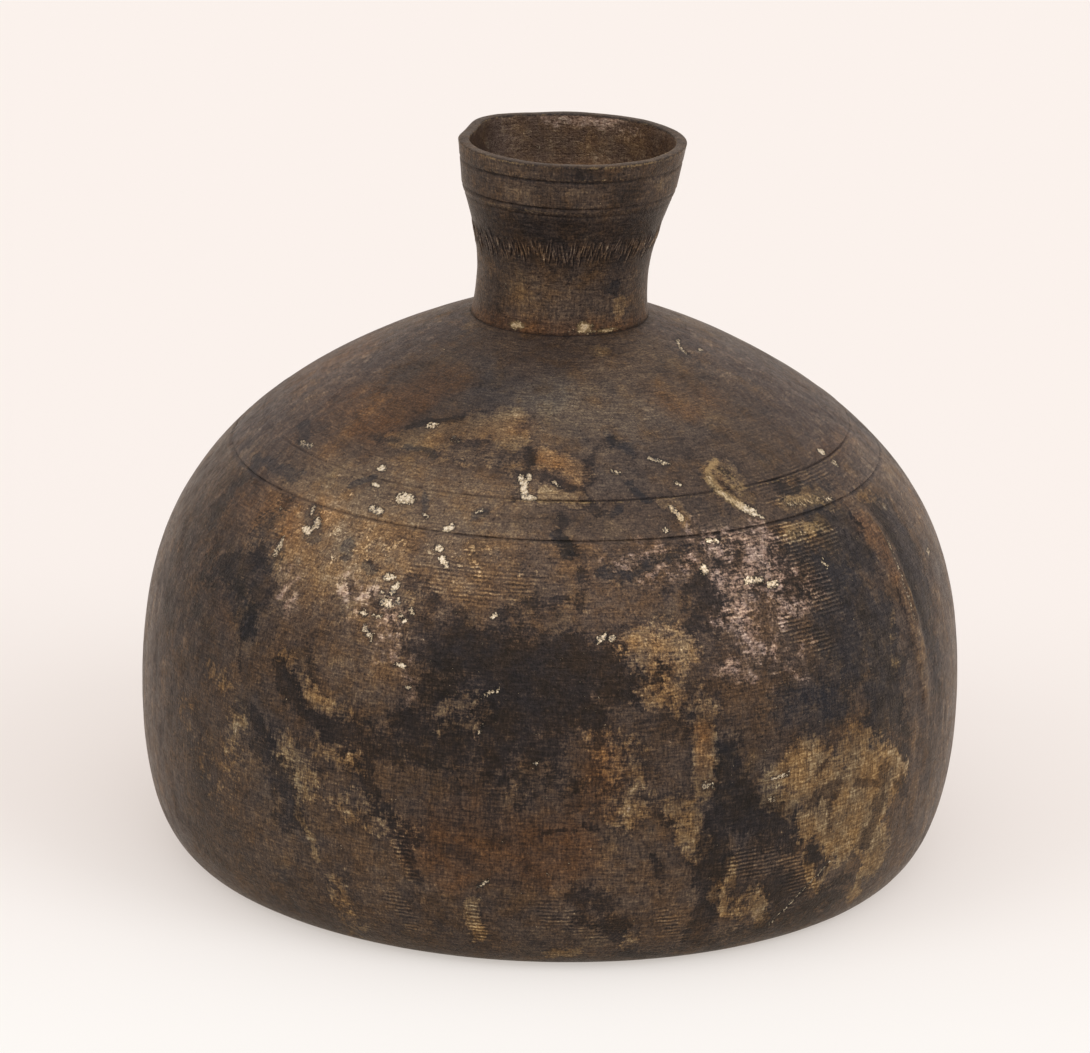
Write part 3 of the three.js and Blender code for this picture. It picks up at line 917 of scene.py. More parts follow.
class Skin:
    """A grid of points turned round the upright axis: rows follow a closed outline, columns go round."""

    def __init__(self, parts, columns):
        """parts are (outline points, share of the texture, is outside) runs of the closed outline."""
        self.columns = columns
        self.outline = np.concatenate([points for points, _, _ in parts])
        self.rows = len(self.outline)
        self.outside = np.concatenate([np.full(len(points), outside) for points, _, outside in parts])
        weights = np.concatenate([np.full(len(points), weight) for points, weight, _ in parts])
        steps = np.diff(run_along(np.concatenate([self.outline, self.outline[:1]])))
        run = np.concatenate([[0], np.cumsum(steps * weights)])
        self.texture_run = run / run[-1]
        self.angle = np.tile(crowd_front(np.arange(columns) * 360 / columns - 180), self.rows)
        self.radius = self.by_row(self.outline[:, 0])
        self.height = self.by_row(self.outline[:, 1])
        self.is_outside = self.by_row(self.outside)
        self.set_normals()

    def by_row(self, values):
        """One value for each row, given to all the points of the row."""
        return np.repeat(values, self.columns)

    def set_normals(self):
        """The outline's own normal at each row, for relief to follow."""
        before = np.roll(self.outline, 1, axis=0)
        after = np.roll(self.outline, -1, axis=0)
        edge = np.flatnonzero(self.outside)
        before[edge[0]] = self.outline[edge[0]]
        after[edge[-1]] = self.outline[edge[-1]]
        run = after - before
        length = np.maximum(np.hypot(*run.T), 1e-9)
        self.normal_radius = self.by_row(run[:, 1] / length)
        self.normal_height = self.by_row(-run[:, 0] / length)

    def places(self):
        """Points in space, in mm."""
        turn = np.radians(self.angle)
        return np.stack([self.radius * np.sin(turn), -self.radius * np.cos(turn), self.height], axis=1)

    def lift(self, relief):
        """Moves the points out along the outline's normal."""
        self.radius = self.radius + relief * self.normal_radius
        self.height = self.height + relief * self.normal_height


def grid_faces(rows, columns):
    """Quads of a grid that closes on itself both ways, facing out."""
    row, column = np.meshgrid(np.arange(rows), np.arange(columns), indexing="ij")
    next_row = (row + 1) % rows
    next_column = (column + 1) % columns
    corners = [(row, column), (row, next_column), (next_row, next_column), (next_row, column)]
    return np.stack([r * columns + c for r, c in corners], axis=-1).reshape(-1, 4)


def grid_texture(skin):
    """Texture places of each face corner: round the bottle sideways, along the outline upwards."""
    row, column = np.meshgrid(np.arange(skin.rows), np.arange(skin.columns), indexing="ij")
    corners = [(row, column), (row, column + 1), (row + 1, column + 1), (row + 1, column)]
    sides = [np.stack([c / skin.columns, skin.texture_run[r]], axis=-1) for r, c in corners]
    return np.stack(sides, axis=2).reshape(-1, 2)


def add_object(name, data):
    """A new object in the scene."""
    thing = bpy.data.objects.new(name, data)
    bpy.context.scene.collection.objects.link(thing)
    return thing


def add_mesh(name, places, faces, texture, attributes, material):
    """A smooth mesh object with its texture map and its masks. Places are in mm."""
    mesh = bpy.data.meshes.new(name)
    mesh.from_pydata((places * MM).tolist(), [], faces)
    layer = mesh.uv_layers.new(name="OFBake")
    layer.uv.foreach_set("vector", np.asarray(texture, np.float32).ravel())
    for label, values in attributes.items():
        mask = mesh.attributes.new(label, "FLOAT", "POINT")
        mask.data.foreach_set("value", np.asarray(values, np.float32))
    mesh.shade_smooth()
    mesh.set_sharp_from_angle(angle=math.radians(SHARP_ANGLE))
    mesh.materials.append(material)
    return add_object(name, mesh)


def add_skin(name, skin, places, attributes, material):
    faces = grid_faces(skin.rows, skin.columns).tolist()
    return add_mesh(name, places, faces, grid_texture(skin), attributes, material)


def place_piece(piece, node):
    """Puts a piece in a CAD node's stead."""
    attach(piece, "root")
    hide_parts(node)


# Marks laid over the body

def distance_to_route(angle, along, radius, points):
    """Distance in mm over the surface from each place to a route of (angle, along) points."""
    nearest = np.full(len(angle), np.inf)
    for (start_angle, start_along), (end_angle, end_along) in zip(points[:-1], points[1:]):
        across = np.radians(angle_between(angle, start_angle)) * radius
        up = along - start_along
        route_radius = float(np.interp((start_along + end_along) / 2, BODY_RUN, BODY_OUTSIDE[:, 0]))
        route_across = math.radians(end_angle - start_angle) * route_radius
        route_up = end_along - start_along
        length_squared = max(route_across**2 + route_up**2, 1e-9)
        share = np.clip((across * route_across + up * route_up) / length_squared, 0, 1)
        gap = np.hypot(across - share * route_across, up - share * route_up)
        nearest = np.minimum(nearest, gap)
    return nearest


def cover(where, marks, fade):
    """How strongly a list of marks covers each place, full in a mark's core and none at the fade's end."""
    strongest = np.zeros(len(where[0]))
    for half_width, strength, *points in marks:
        gap = distance_to_route(*where, points)
        strongest = np.maximum(strongest, strength * smooth_fall(gap / half_width, CORE, fade))
    return strongest


def all_round(marks, seed):
    """A list of marks, and copies of them moved by chance to the back and sides."""
    draw = np.random.default_rng(seed)
    strewn = list(marks)
    for half_width, strength, *points in marks:
        turn = draw.uniform(*BACK_ANGLES) - points[0][0]
        rise = draw.uniform(-BACK_RISE, BACK_RISE)
        strewn.append((half_width, strength, *[(angle + turn, along + rise) for angle, along in points]))
    return strewn


def wandering(places, layers, seed):
    """Distances in mm by which lines and outlines wander, from layers of noise with a reach and a size."""
    return sum(reach * noise(places, size, seed + layer) for layer, (reach, size) in enumerate(layers))


def body_masks(skin, along):
    """Masks of the body's marks at a skin's points, with the outlines of the stains made ragged."""
    places = skin.places()
    sideways = wandering(places, MARK_WANDER, seed=11)
    upwards = wandering(places, MARK_WANDER, seed=21)
    radius = np.maximum(skin.radius, 1.0)
    stained = (skin.angle + np.degrees(sideways / radius), along + upwards, radius)
    chip_turn = np.degrees(CHIP_WANDER * sideways / radius)
    chipped = (skin.angle + chip_turn, along + CHIP_WANDER * upwards, radius)
    masks = {
        label: cover(stained, all_round(marks, seed), STAIN_FADE)
        for seed, (label, marks) in enumerate(BODY_STAINS.items(), 1)
    }
    strip = cover(chipped, STRIP_ROUTE, CHIP_FADE)
    for label in ("gold", "dark", "slate", "haze"):
        masks[label] = masks[label] * (1 - strip)
    # Paler areas, some of them painted sheen
    pale_and_sheen = cover(stained, PALE_AREAS_AND_SHEEN, STAIN_FADE)
    dim = cover(stained, DIM_AREAS, STAIN_FADE)
    from_front = np.abs(skin.angle)
    masks |= {
        "strip": strip,
        "cream": cover(chipped, all_round(CREAM_MARKS, CHIP_SEED), CHIP_FADE),
        "ridge": cover(chipped, RIDGE_ROUTE, CHIP_FADE),
        "shade": pale_and_sheen - dim + STRIP_PALENESS * strip,
        # Scuffs on the sides the camera sees edge on, partly painted grey sheen
        "scuff": smooth_rise(from_front, *SCUFF_AND_SHEEN_ANGLES) - CALMING * smooth_rise(from_front, *CALM_ANGLES),
        "pit": smooth_rise(fractal(places, PIT_SIZE, 4, seed=41), *PIT_LEVELS),
    }
    masks = {label: mask * skin.is_outside for label, mask in masks.items()}
    return masks | {"along": along, "inner": 1.0 - skin.is_outside}


def fade_at_ends(along, floor_fade, seat_fade):
    """1 over most of the body, falling to 0 at the floor and at the neck's seat."""
    return smooth_rise(along, *floor_fade) * smooth_rise(SEAT_ALONG - along, *seat_fade)


def body_relief(skin, along, masks):
    """Height of the body's surface over its outline: waves, dents, pits, chips and the lifted ridges."""
    turn = np.radians(skin.angle)
    waves = sum(high * np.cos(count * turn + start + twist * along) for count, high, start, twist in WAVES)
    waves = waves * fade_at_ends(along, WAVE_FADE, WAVE_FADE)
    dents = DENT_HEIGHT * fractal(skin.places(), DENT_SIZE, 3, seed=31)
    hollows = PIT_DEPTH * masks["pit"] + CHIP_DEPTH * masks["cream"] + STAIN_DEPTH * masks["dark"]
    ridges = RIDGE_HEIGHT * masks["ridge"] + STRIP_HEIGHT * masks["strip"]
    return waves + (dents - hollows + ridges) * fade_at_ends(along, FLOOR_FADE, SEAT_FADE)


def along_of(skin):
    """Distance up the body's outside: by height on the wall, by radius on the dome."""
    on_dome = BODY_OUTSIDE[:, 1] > FOOT_START
    radius, height = skin.outline.T
    by_wall = np.interp(height, BODY_OUTSIDE[:, 1], BODY_RUN)
    by_dome = np.interp(-radius, -BODY_OUTSIDE[on_dome, 0], BODY_RUN[on_dome])
    return skin.by_row(np.where(height < SEAM_BOTTOM, by_wall, by_dome))


# Pieces of the body

def body_piece(name, skin, along, masks, cut, material):
    """A piece of the body with its relief, less what is cut into it."""
    skin.lift((body_relief(skin, along, masks) - cut) * skin.is_outside)
    return add_skin(name, skin, skin.places(), masks, material)


def lower_wall(material):
    inside = by_height(wall_inside, PLATE_THICKNESS, SEAM_BOTTOM, INSIDE_STEP)[::-1]
    step = np.array([[PLATE_RADIUS, PLATE_THICKNESS], [PLATE_RADIUS, 0]])
    skin = Skin([(WALL_OUTSIDE, 3.0, True), (inside, 1.0, False), (step, 1.0, False)], BODY_COLUMNS)
    along = along_of(skin)
    return body_piece("lower_wall_skin", skin, along, body_masks(skin, along), 0.0, material)


def cut_depth(places, size, middle, swing, least, seed):
    """How deep a turned line is cut from place to place, from a least share to 1."""
    return np.clip(middle + swing * noise(places, size, seed), least, 1)


def line_strength(skin, seed):
    """How deep a turned line is cut round the body, fading out at the left."""
    fading = LINE_LEAST + (1 - LINE_LEAST) * smooth_rise(np.abs(skin.angle - LINE_FADE_ANGLE), *LINE_FADE)
    return cut_depth(skin.places(), *LINE_CUT, seed) * fading


def shoulder(material):
    opening = np.array([[OPENING_RADIUS, SEAT_HEIGHT]])
    inside = by_radius(dome_inside, OPENING_RADIUS, wall_inside(SEAM_TOP), INSIDE_STEP)
    inside[-1, 1] = SEAM_TOP
    skin = Skin([(SHOULDER_OUTSIDE, 3.0, True), (opening, 1.0, False), (inside, 1.0, False)], BODY_COLUMNS)
    along = along_of(skin)
    masks = body_masks(skin, along)
    wavering = along + wandering(skin.places(), LINE_WAVER, seed=51)
    strength = line_strength(skin, seed=52)
    line = turned_line(wavering, LINE_ALONG, LINE_WIDTH) * strength
    faint = turned_line(wavering, LINE_ALONG - FAINT_LINE_DROP, LINE_WIDTH) * np.clip(strength - 0.5, 0, 1)
    edge = turned_line(wavering, LINE_ALONG - LINE_WIDTH, LINE_EDGE_WIDTH) * strength
    masks["groove"] = (line + faint) * skin.is_outside
    masks["ridge"] = np.maximum(masks["ridge"], 0.7 * edge * skin.is_outside)
    return body_piece("shoulder_skin", skin, along, masks, LINE_DEPTH * masks["groove"], material)


def girth_solder(material):
    """Ring of solder in the seam, flush with the shells and sunk to a turned line in its middle."""
    heights = np.linspace(SEAM_BOTTOM, SEAM_TOP, SOLDER_ROWS)
    sunk = LINE_DEPTH * turned_line(heights, SEAM_MIDDLE, SEAM_LINE_WIDTH)
    outside = np.stack([body_radius(heights) - sunk, heights], axis=1)
    inside = np.array([[wall_inside(SEAM_TOP), SEAM_TOP], [wall_inside(SEAM_BOTTOM), SEAM_BOTTOM]])
    skin = Skin([(outside, 3.0, True), (evenly(inside, SOLDER_STEP), 1.0, False)], BODY_COLUMNS)
    along = np.interp(skin.height, BODY_OUTSIDE[:, 1], BODY_RUN)
    masks = body_masks(skin, along)
    masks["groove"] = line_strength(skin, seed=62) * turned_line(skin.height, SEAM_MIDDLE, SEAM_STAIN_WIDTH)
    return body_piece("girth_solder_skin", skin, along, masks, 0.0, material)


# Pieces of the neck

def lean_neck(skin):
    """Places of a neck piece, standing on the seat and leaning."""
    places = skin.places()
    places[:, 0] += NECK_LEAN * places[:, 2]
    places[:, 2] += SEAT_HEIGHT
    return places


def chatter_strokes(angle, height):
    """Short tool strokes round the neck, upright at the left and slanting at the right.

    The result is over 0 on a stroke and under 0 beside it.
    """
    draw = np.random.default_rng(STROKE_SEED)
    strokes = np.zeros(len(angle))
    shadows = np.zeros(len(angle))
    for stroke in range(STROKE_COUNT):
        middle = crowd_front((stroke + draw.uniform(0, STROKE_JITTER)) * 360 / STROKE_COUNT - 180)
        side = smooth_rise(abs(middle), *SIDE_ANGLES)
        rise = RIGHT_RISE * smooth_rise(middle, *RIGHT_ANGLES)
        drop = LEFT_DROP * smooth_rise(-middle, *LEFT_ANGLES)
        centre = STROKE_HEIGHT + rise - drop + draw.normal(0, STROKE_SPREAD)
        length = draw.uniform(*STROKE_LENGTH) * (1 + SIDE_LENGTH * side)
        slant = STROKE_SLANT * math.sin(math.radians(middle)) + draw.normal(0, SLANT_SPREAD)
        width = draw.uniform(*STROKE_WIDTH) / max(abs(math.cos(math.radians(middle))), NARROWEST_VIEW)
        # Stronger strokes at the sides: partly painted highlight
        strength = draw.uniform(*STROKE_STRENGTH) * (1 + SIDE_STRENGTH_AND_HIGHLIGHT * side)
        across = np.radians(angle_between(angle, middle)) * STROKE_RADIUS
        up = height - centre
        gap = (across - slant * up) / width
        ends = np.clip(1.6 * (1 - np.abs(up) / (length / 2)), 0, 1)
        strokes = np.maximum(strokes, strength * np.clip(1.5 - np.abs(gap), 0, 1) * ends)
        shadows = np.maximum(shadows, strength * np.clip(1.5 - np.abs(gap - 2), 0, 1) * ends)
    return strokes - STROKE_SHADOW * shadows * (1 - strokes)


def rim_kink(angle, height):
    """The bent corner at the back left of the rim, as a change of radius."""
    bend = sum(change * np.exp(-(((angle - middle) / half) ** 2)) for middle, half, change in KINKS)
    return bend * smooth_rise(height, NECK_HEIGHT - KINK_DEPTH, NECK_HEIGHT)


def lip_outline():
    """The rounded top of the lip, from outside to inside."""
    half = NECK_WALL / 2
    turn = np.radians(np.linspace(0, 180, LIP_POINTS))[1:-1]
    across = np.sign(np.cos(turn)) * np.sqrt(np.abs(np.cos(turn)))
    up = np.sqrt(np.sin(turn))
    return np.stack([MOUTH_RADIUS - half + half * across, NECK_HEIGHT - LIP_ROUNDING * (1 - up)], axis=1)


def neck(material):
    lip_start = NECK_HEIGHT - LIP_ROUNDING
    outside = by_height(neck_radius, 0, lip_start, NECK_STEP)
    inside = by_height(neck_inside, 0, lip_start, NECK_INSIDE_STEP)[::-1]
    skin = Skin([(outside, 2.0, True), (lip_outline(), 2.0, True), (inside, 1.0, False)], NECK_COLUMNS)
    angle, height, places = skin.angle, skin.height, skin.places()
    waver = wandering(places, GROOVE_WAVER, seed=71)
    depth = cut_depth(places, *GROOVE_CUT, seed=72)
    lip_groove = turned_line(height + waver, LIP_GROOVE_HEIGHT, GROOVE_WIDTH)
    low_groove = turned_line(height + waver, FLARE_HEIGHT, GROOVE_WIDTH)
    faint = 0.5 * turned_line(height - waver, FLARE_HEIGHT - FAINT_GROOVE_DROP, GROOVE_WIDTH)
    turned = np.maximum(np.maximum(lip_groove, low_groove), faint) * depth
    joint = turned_line(height, SKIN_HEIGHT, JOINT_WIDTH)
    grooves = np.maximum(turned, joint) * skin.is_outside
    strokes = chatter_strokes(angle, height) * skin.is_outside
    dents = NECK_DENT_HEIGHT * fractal(places, NECK_DENT_SIZE, 3, seed=73)
    dents = dents * smooth_rise(height, *NECK_DENT_FADE)
    skin.lift((dents - GROOVE_DEPTH * (grooves - joint) + STROKE_RELIEF * strokes) * skin.is_outside)
    skin.radius = skin.radius + rim_kink(angle, height)

    upper_edge = turned_line(height, LIP_GROOVE_HEIGHT + GROOVE_EDGE_OFFSET, GROOVE_EDGE_WIDTH)
    lower_edge = turned_line(height, FLARE_HEIGHT - GROOVE_EDGE_OFFSET, GROOVE_EDGE_WIDTH)
    edges = upper_edge + lower_edge
    lip_wear = turned_line(height, LIP_WEAR_HEIGHT, LIP_WEAR_WIDTH)
    masks = neck_masks(skin)
    masks["ridge"] = masks["ridge"] + (0.9 * lip_wear + 0.5 * edges) * depth * skin.is_outside
    masks["stroke"] = strokes
    masks["groove"] = grooves
    return add_skin("neck_skin", skin, lean_neck(skin), masks, material)


def facing(skin, angle, half_angle):
    """1 on the side that faces an angle, falling to 0 away from it."""
    return np.exp(-((angle_between(skin.angle, angle) / half_angle) ** 2))


def spots(skin, marks):
    """Sum of soft round spots on the neck, each strongest in its middle."""
    return sum(
        strength * facing(skin, angle, half_angle) * np.exp(-(((skin.height - height) / half_height) ** 2))
        for strength, angle, height, half_angle, half_height in marks
    )


def neck_masks(skin):
    """Stains of the neck: patchy bands, a dark waist, an olive foot with a gold spot, a warm inside, and
    painted highlights on the foot, the lip's front edge and inside the back of the lip.
    """
    height = skin.height
    outside = skin.is_outside
    inner = 1.0 - outside
    glints = spots(skin, NECK_GLINTS)
    band_gold = spots(skin, BAND_GOLD)
    dark = spots(skin, NECK_DARK)
    grey_end = spots(skin, GREY_END)
    waist = smooth_rise(height, *WAIST_DARK) * smooth_fall(height, *WAIST_DARK_END)
    lip_top = smooth_rise(height, *LIP_TOP)
    # Painted highlight along the front of the lip's inner edge
    lip_edge_highlight = lip_top * smooth_rise(MOUTH_RADIUS - NECK_WALL / 2 - skin.radius, 0.2, 0.9)
    lip_edge_highlight = lip_edge_highlight * facing(skin, *LIP_HIGHLIGHT_SIDE)
    back_glints = facing(skin, *GLINT_SIDE) + 0.6 * facing(skin, *FAINT_GLINT_SIDE)
    outside_shade = 0.4 * smooth_fall(height, *FOOT_PALE) + spots(skin, NECK_OLIVE)
    outside_shade = outside_shade + band_gold + 0.9 * grey_end - waist - dark - 0.5 * lip_top
    inside_shade = 1.0 + spots(skin, INSIDE_PALE) - 0.7 * facing(skin, *SHADY_SIDE)
    return {
        "shade": outside_shade * outside + inside_shade * inner,
        "gold": (spots(skin, FOOT_GOLD) + 0.3 * band_gold) * outside,
        "slate": (spots(skin, NECK_SLATE) + 0.3 * dark) * outside,
        "haze": inner * facing(skin, *HAZY_SIDE) + (0.3 * lip_top + 0.6 * grey_end) * outside,
        "rust": inner * smooth_fall(height, *INSIDE_RUST) + 0.85 * smooth_fall(height, *FOOT_RUST),
        # Painted highlights inside the back of the lip, given the colours of the silver patches
        "silver": 0.9 * inner * smooth_rise(height, *BACK_LIP) * back_glints,
        # Cream and worn metal here are painted highlights of the foot and the lip's front edge, with the real
        # wear of the lip
        "cream": 0.9 * glints * outside,
        "ridge": (1.6 * glints + 0.8 * lip_edge_highlight) * outside,
        "scuff": 0.5 * inner,
        "inner": inner,
        "along": height + SEAT_ALONG,
    }


def neck_solder(material):
    """Thin skin of solder that carries the dome on to the neck's foot, with a dark joint where they meet."""
    share = np.linspace(0, 1, FACE_POINTS)[1:-1]
    start = np.array([[SEAT_RADIUS, 0]])
    face = np.stack([SEAT_RADIUS - FILLET * share, SKIN_HEIGHT * share], axis=1)
    corner = np.array([[NECK_FOOT_RADIUS, SKIN_HEIGHT], [NECK_FOOT_RADIUS, 0]])
    skin = Skin([(start, 1.0, False), (face, 3.0, True), (corner, 1.0, False)], RING_COLUMNS)
    joint = smooth_fall(skin.radius, NECK_FOOT_RADIUS, NECK_FOOT_RADIUS + JOINT_REACH)
    masks = {"groove": joint, "along": np.full(len(joint), SEAT_ALONG)}
    return add_skin("neck_solder_skin", skin, lean_neck(skin), masks, material)


# Pieces of the base

def base_plate(material):
    """Disc let into the foot, with a centre point above and below."""
    reach = np.linspace(0, PLATE_RADIUS, PLATE_RINGS + 1)[1:]
    under = np.stack([reach, np.zeros(PLATE_RINGS)], axis=1)
    over = np.stack([reach[::-1], np.full(PLATE_RINGS, PLATE_THICKNESS)], axis=1)
    skin = Skin([(under, 1.0, True), (over, 1.0, False)], RING_COLUMNS)
    ripple = PLATE_RIPPLE * (1 + np.cos(skin.radius / RIPPLE_SPACING))
    skin.height = skin.height + ripple * smooth_fall(skin.radius, *RIPPLE_FADE) * skin.is_outside
    centres = [[0, 0, 2 * PLATE_RIPPLE], [0, 0, PLATE_THICKNESS]]
    places = np.concatenate([skin.places(), centres])

    last_row = (skin.rows - 1) * skin.columns
    column = np.arange(skin.columns)
    next_column = (column + 1) % skin.columns
    bottom = np.full(skin.columns, len(places) - 2)
    walls = grid_faces(skin.rows, skin.columns)[:last_row]
    fan_under = np.stack([bottom, next_column, column], axis=1)
    fan_over = np.stack([last_row + column, last_row + next_column, bottom + 1], axis=1)
    faces = walls.tolist() + fan_under.tolist() + fan_over.tolist()

    # The underside fills the left half of the texture and the top fills the right half
    corners = places[[corner for face in faces for corner in face]]
    half_map = np.where(corners[:, 2] > PLATE_THICKNESS / 2, 0.75, 0.25)
    side = PLATE_RADIUS * 4.2
    texture = np.stack([half_map + corners[:, 0] / side, 0.5 + corners[:, 1] / side * 2], axis=1)
    masks = {
        "along": np.append(skin.radius, [0, 0]),
        "inner": np.append(1.0 - skin.is_outside, [0, 1]),
    }
    return add_mesh("base_plate_skin", places, faces, texture, masks, material)


def base_solder(material):
    """Bead of solder inside, over the joint of the plate and the foot."""
    turn = np.radians(np.linspace(0, 180, BEAD_POINTS))
    across, up = BEAD_HALF * np.cos(turn), BEAD_HEIGHT * np.sin(turn)
    bead = np.stack([PLATE_RADIUS + across, PLATE_THICKNESS + up], axis=1)
    under = np.array([[PLATE_RADIUS, PLATE_THICKNESS]])
    skin = Skin([(bead, 1.0, True), (under, 1.0, False)], RING_COLUMNS)
    is_free = np.append((turn > 0) & (turn < math.pi), False)
    lumps = BEAD_LUMP_HEIGHT * fractal(skin.places(), BEAD_LUMP_SIZE, 3, seed=91)
    skin.lift(lumps * skin.by_row(is_free))
    masks = {"inner": np.ones(len(skin.angle))}
    return add_skin("base_solder_skin", skin, skin.places(), masks, material)


# Materials

class Graph:
    """Short calls for laying out the nodes of a material or of the world."""

    def __init__(self, owner):
        owner.use_nodes = True
        self.tree = owner.node_tree
        self.tree.nodes.clear()

    def put(self, socket, value):
        """Links a socket to another node's output, or sets it to a plain value."""
        if isinstance(value, bpy.types.NodeSocket):
            self.tree.links.new(value, socket)
        else:
            socket.default_value = value

    def add(self, kind, **sockets):
        node = self.tree.nodes.new(kind)
        for label, value in sockets.items():
            self.put(node.inputs[label.replace("_", " ")], value)
        return node

    def attribute(self, label):
        """A mask of the mesh, or 0 all over where the mesh has none of that name."""
        node = self.add("ShaderNodeAttribute")
        node.attribute_name = label
        return node.outputs["Fac"]

    def place(self):
        """The surface point in mm."""
        return self.scaled(self.add("ShaderNodeTexCoord").outputs["Object"], (1 / MM, 1 / MM, 1 / MM))

    def scaled(self, vector, by):
        """A place or a colour, each part of it multiplied."""
        node = self.add("ShaderNodeVectorMath")
        node.operation = "MULTIPLY"
        self.put(node.inputs[0], vector)
        self.put(node.inputs[1], by)
        return node.outputs[0]

    def hoop(self, place, along, squeeze):
        """A place whose sideways parts are squeezed, so that noise on it makes rings round the bottle."""
        parts = self.add("ShaderNodeSeparateXYZ", Vector=place)
        across = {side: self.times(parts.outputs[side], squeeze) for side in ("X", "Y")}
        return self.add("ShaderNodeCombineXYZ", Z=along, **across).outputs[0]

    def noise(self, vector, size, detail, roughness):
        """Noise round 0 with features of a size in mm."""
        node = self.add("ShaderNodeTexNoise", Vector=vector, Scale=1 / size)
        self.put(node.inputs["Detail"], detail)
        self.put(node.inputs["Roughness"], roughness)
        return self.math("SUBTRACT", node.outputs["Fac"], 0.5)

    def math(self, operation, first, second=0.0):
        node = self.add("ShaderNodeMath")
        node.operation = operation
        self.put(node.inputs[0], first)
        self.put(node.inputs[1], second)
        return node.outputs[0]

    def times(self, first, second):
        return self.math("MULTIPLY", first, second)

    def highest(self, first, second):
        return self.math("MAXIMUM", first, second)

    def total(self, *shares, plus=0.0):
        """Sum of (value, weight) shares and a plain number."""
        summed = plus
        for value, weight in shares:
            part = self.math("MULTIPLY_ADD", value, weight)
            self.put(part.node.inputs[2], summed)
            summed = part
        return summed

    def rise(self, value, low, high):
        """0 at low, 1 at high, smooth between and level beyond."""
        node = self.add("ShaderNodeMapRange", Value=value, From_Min=low, From_Max=high)
        node.interpolation_type = "SMOOTHSTEP"
        return node.outputs[0]

    def mix(self, share, first, second):
        node = self.add("ShaderNodeMix")
        node.data_type = "RGBA"
        self.put(node.inputs[0], share)
        self.put(node.inputs[6], first)
        self.put(node.inputs[7], second)
        return node.outputs[2]

    def ramp(self, value, stops):
        """A colour ramp through (place, colour) stops."""
        node = self.add("ShaderNodeValToRGB", Fac=value)
        for _ in stops[2:]:
            node.color_ramp.elements.new(0.5)
        for element, (place, colour) in zip(node.color_ramp.elements, stops):
            element.position = place
            element.color = colour
        return node.outputs["Color"]

    def bump(self, height, depth, normal):
        """A bump whose full height is a depth in mm, over another bump if there is one."""
        node = self.add("ShaderNodeBump", Height=height, Distance=depth * MM, Strength=1.0)
        if normal is not None:
            self.put(node.inputs["Normal"], normal)
        return node.outputs[0]


def weighed(layers, weights, by=1.0):
    """(layer, weight) shares for a table of weights, all multiplied by a number."""
    return [(getattr(layers, label), weight * by) for label, weight in weights.items()]


def noise_layers(g, along):
    """Every layer of noise in the patina."""
    place = g.place()
    layer = SimpleNamespace()
    for label, (size, detail, roughness, stretch) in NOISES.items():
        setattr(layer, label, g.noise(g.scaled(place, stretch), size, detail, roughness))
    for label, (size, detail, roughness, stretch, low, high) in PATCHES.items():
        setattr(layer, label, g.rise(g.noise(g.scaled(place, stretch), size, detail, roughness), low, high))
    for label, (size, detail, roughness, squeeze) in RINGS.items():
        setattr(layer, label, g.noise(g.hoop(place, along, squeeze), size, detail, roughness))
    layer.hatching = g.total((layer.dash, 0.8), (layer.fibre, 0.8), (layer.grain, 0.3))
    layer.worn_flake = g.rise(layer.flake, 0.05, 0.22)
    layer.dark_flake = g.rise(layer.flake, -0.05, -0.22)
    return layer


def ragged_stains(g, layer, mask, raggedness):
    """Stains where the marks lie, with edges broken up by noise; the silver patches are partly painted sheen.
    """
    ragged = g.total((layer.mottle, 1.1), (layer.flake, 1.8), (layer.speckle, 1.5), (layer.hatching, 0.8))
    ragged = g.times(ragged, raggedness)
    gold_level = g.total((mask.gold, 1.4), (ragged, 1.0))
    silver_level = g.total((mask.silver, 0.8), (layer.mottle, 1.2), (layer.flake, 1.8), (layer.speckle, 0.9))
    chip_edge = g.total((layer.speckle, 1.6), (layer.grain, 1.4))
    chip = g.total((mask.cream, 1.0), (chip_edge, 1.0))
    return SimpleNamespace(
        gold=g.rise(gold_level, 0.55, 1.15),
        outline=g.math("SUBTRACT", g.rise(gold_level, 0.4, 0.55), g.rise(gold_level, 0.55, 0.7)),
        dark=g.rise(g.total((mask.dark, 1.3), (ragged, -1.0)), 0.5, 1.05),
        slate=g.rise(g.total((mask.slate, 1.3), (ragged, -0.8)), 0.5, 1.0),
        silver=g.rise(silver_level, 0.34, 0.88),
        rust=g.rise(g.total((mask.rust, 1.0), (layer.cloud, 1.5)), 0.1, 1.0),
        chip=chip,
        # Dark ring round each chip: partly dark crevice, partly painted shadow of its edge
        chip_rim_and_shadow=g.rise(chip, 0.15, 0.4),
        cream=g.rise(chip, 0.42, 0.62),
        # Worn metal on ridges; on the neck it also carries painted highlights
        worn_and_glint=g.rise(g.total((mask.ridge, 1.0), (chip_edge, 1.0)), 0.35, 1.0),
    )


def comb_lines(g, layer, mask):
    """Fine ridges left by a toothed tool, where the comb marks lie."""
    combed = g.rise(g.total((mask.comb, 1.0), (layer.flake, 1.5)), 0.3, 0.9)
    phase = g.total((mask.along, math.tau / COMB_SPACING), (layer.speckle, 6.0), (layer.dash, 3.0))
    return g.times(combed, g.times(g.math("SINE", phase), COMB_LIFT))


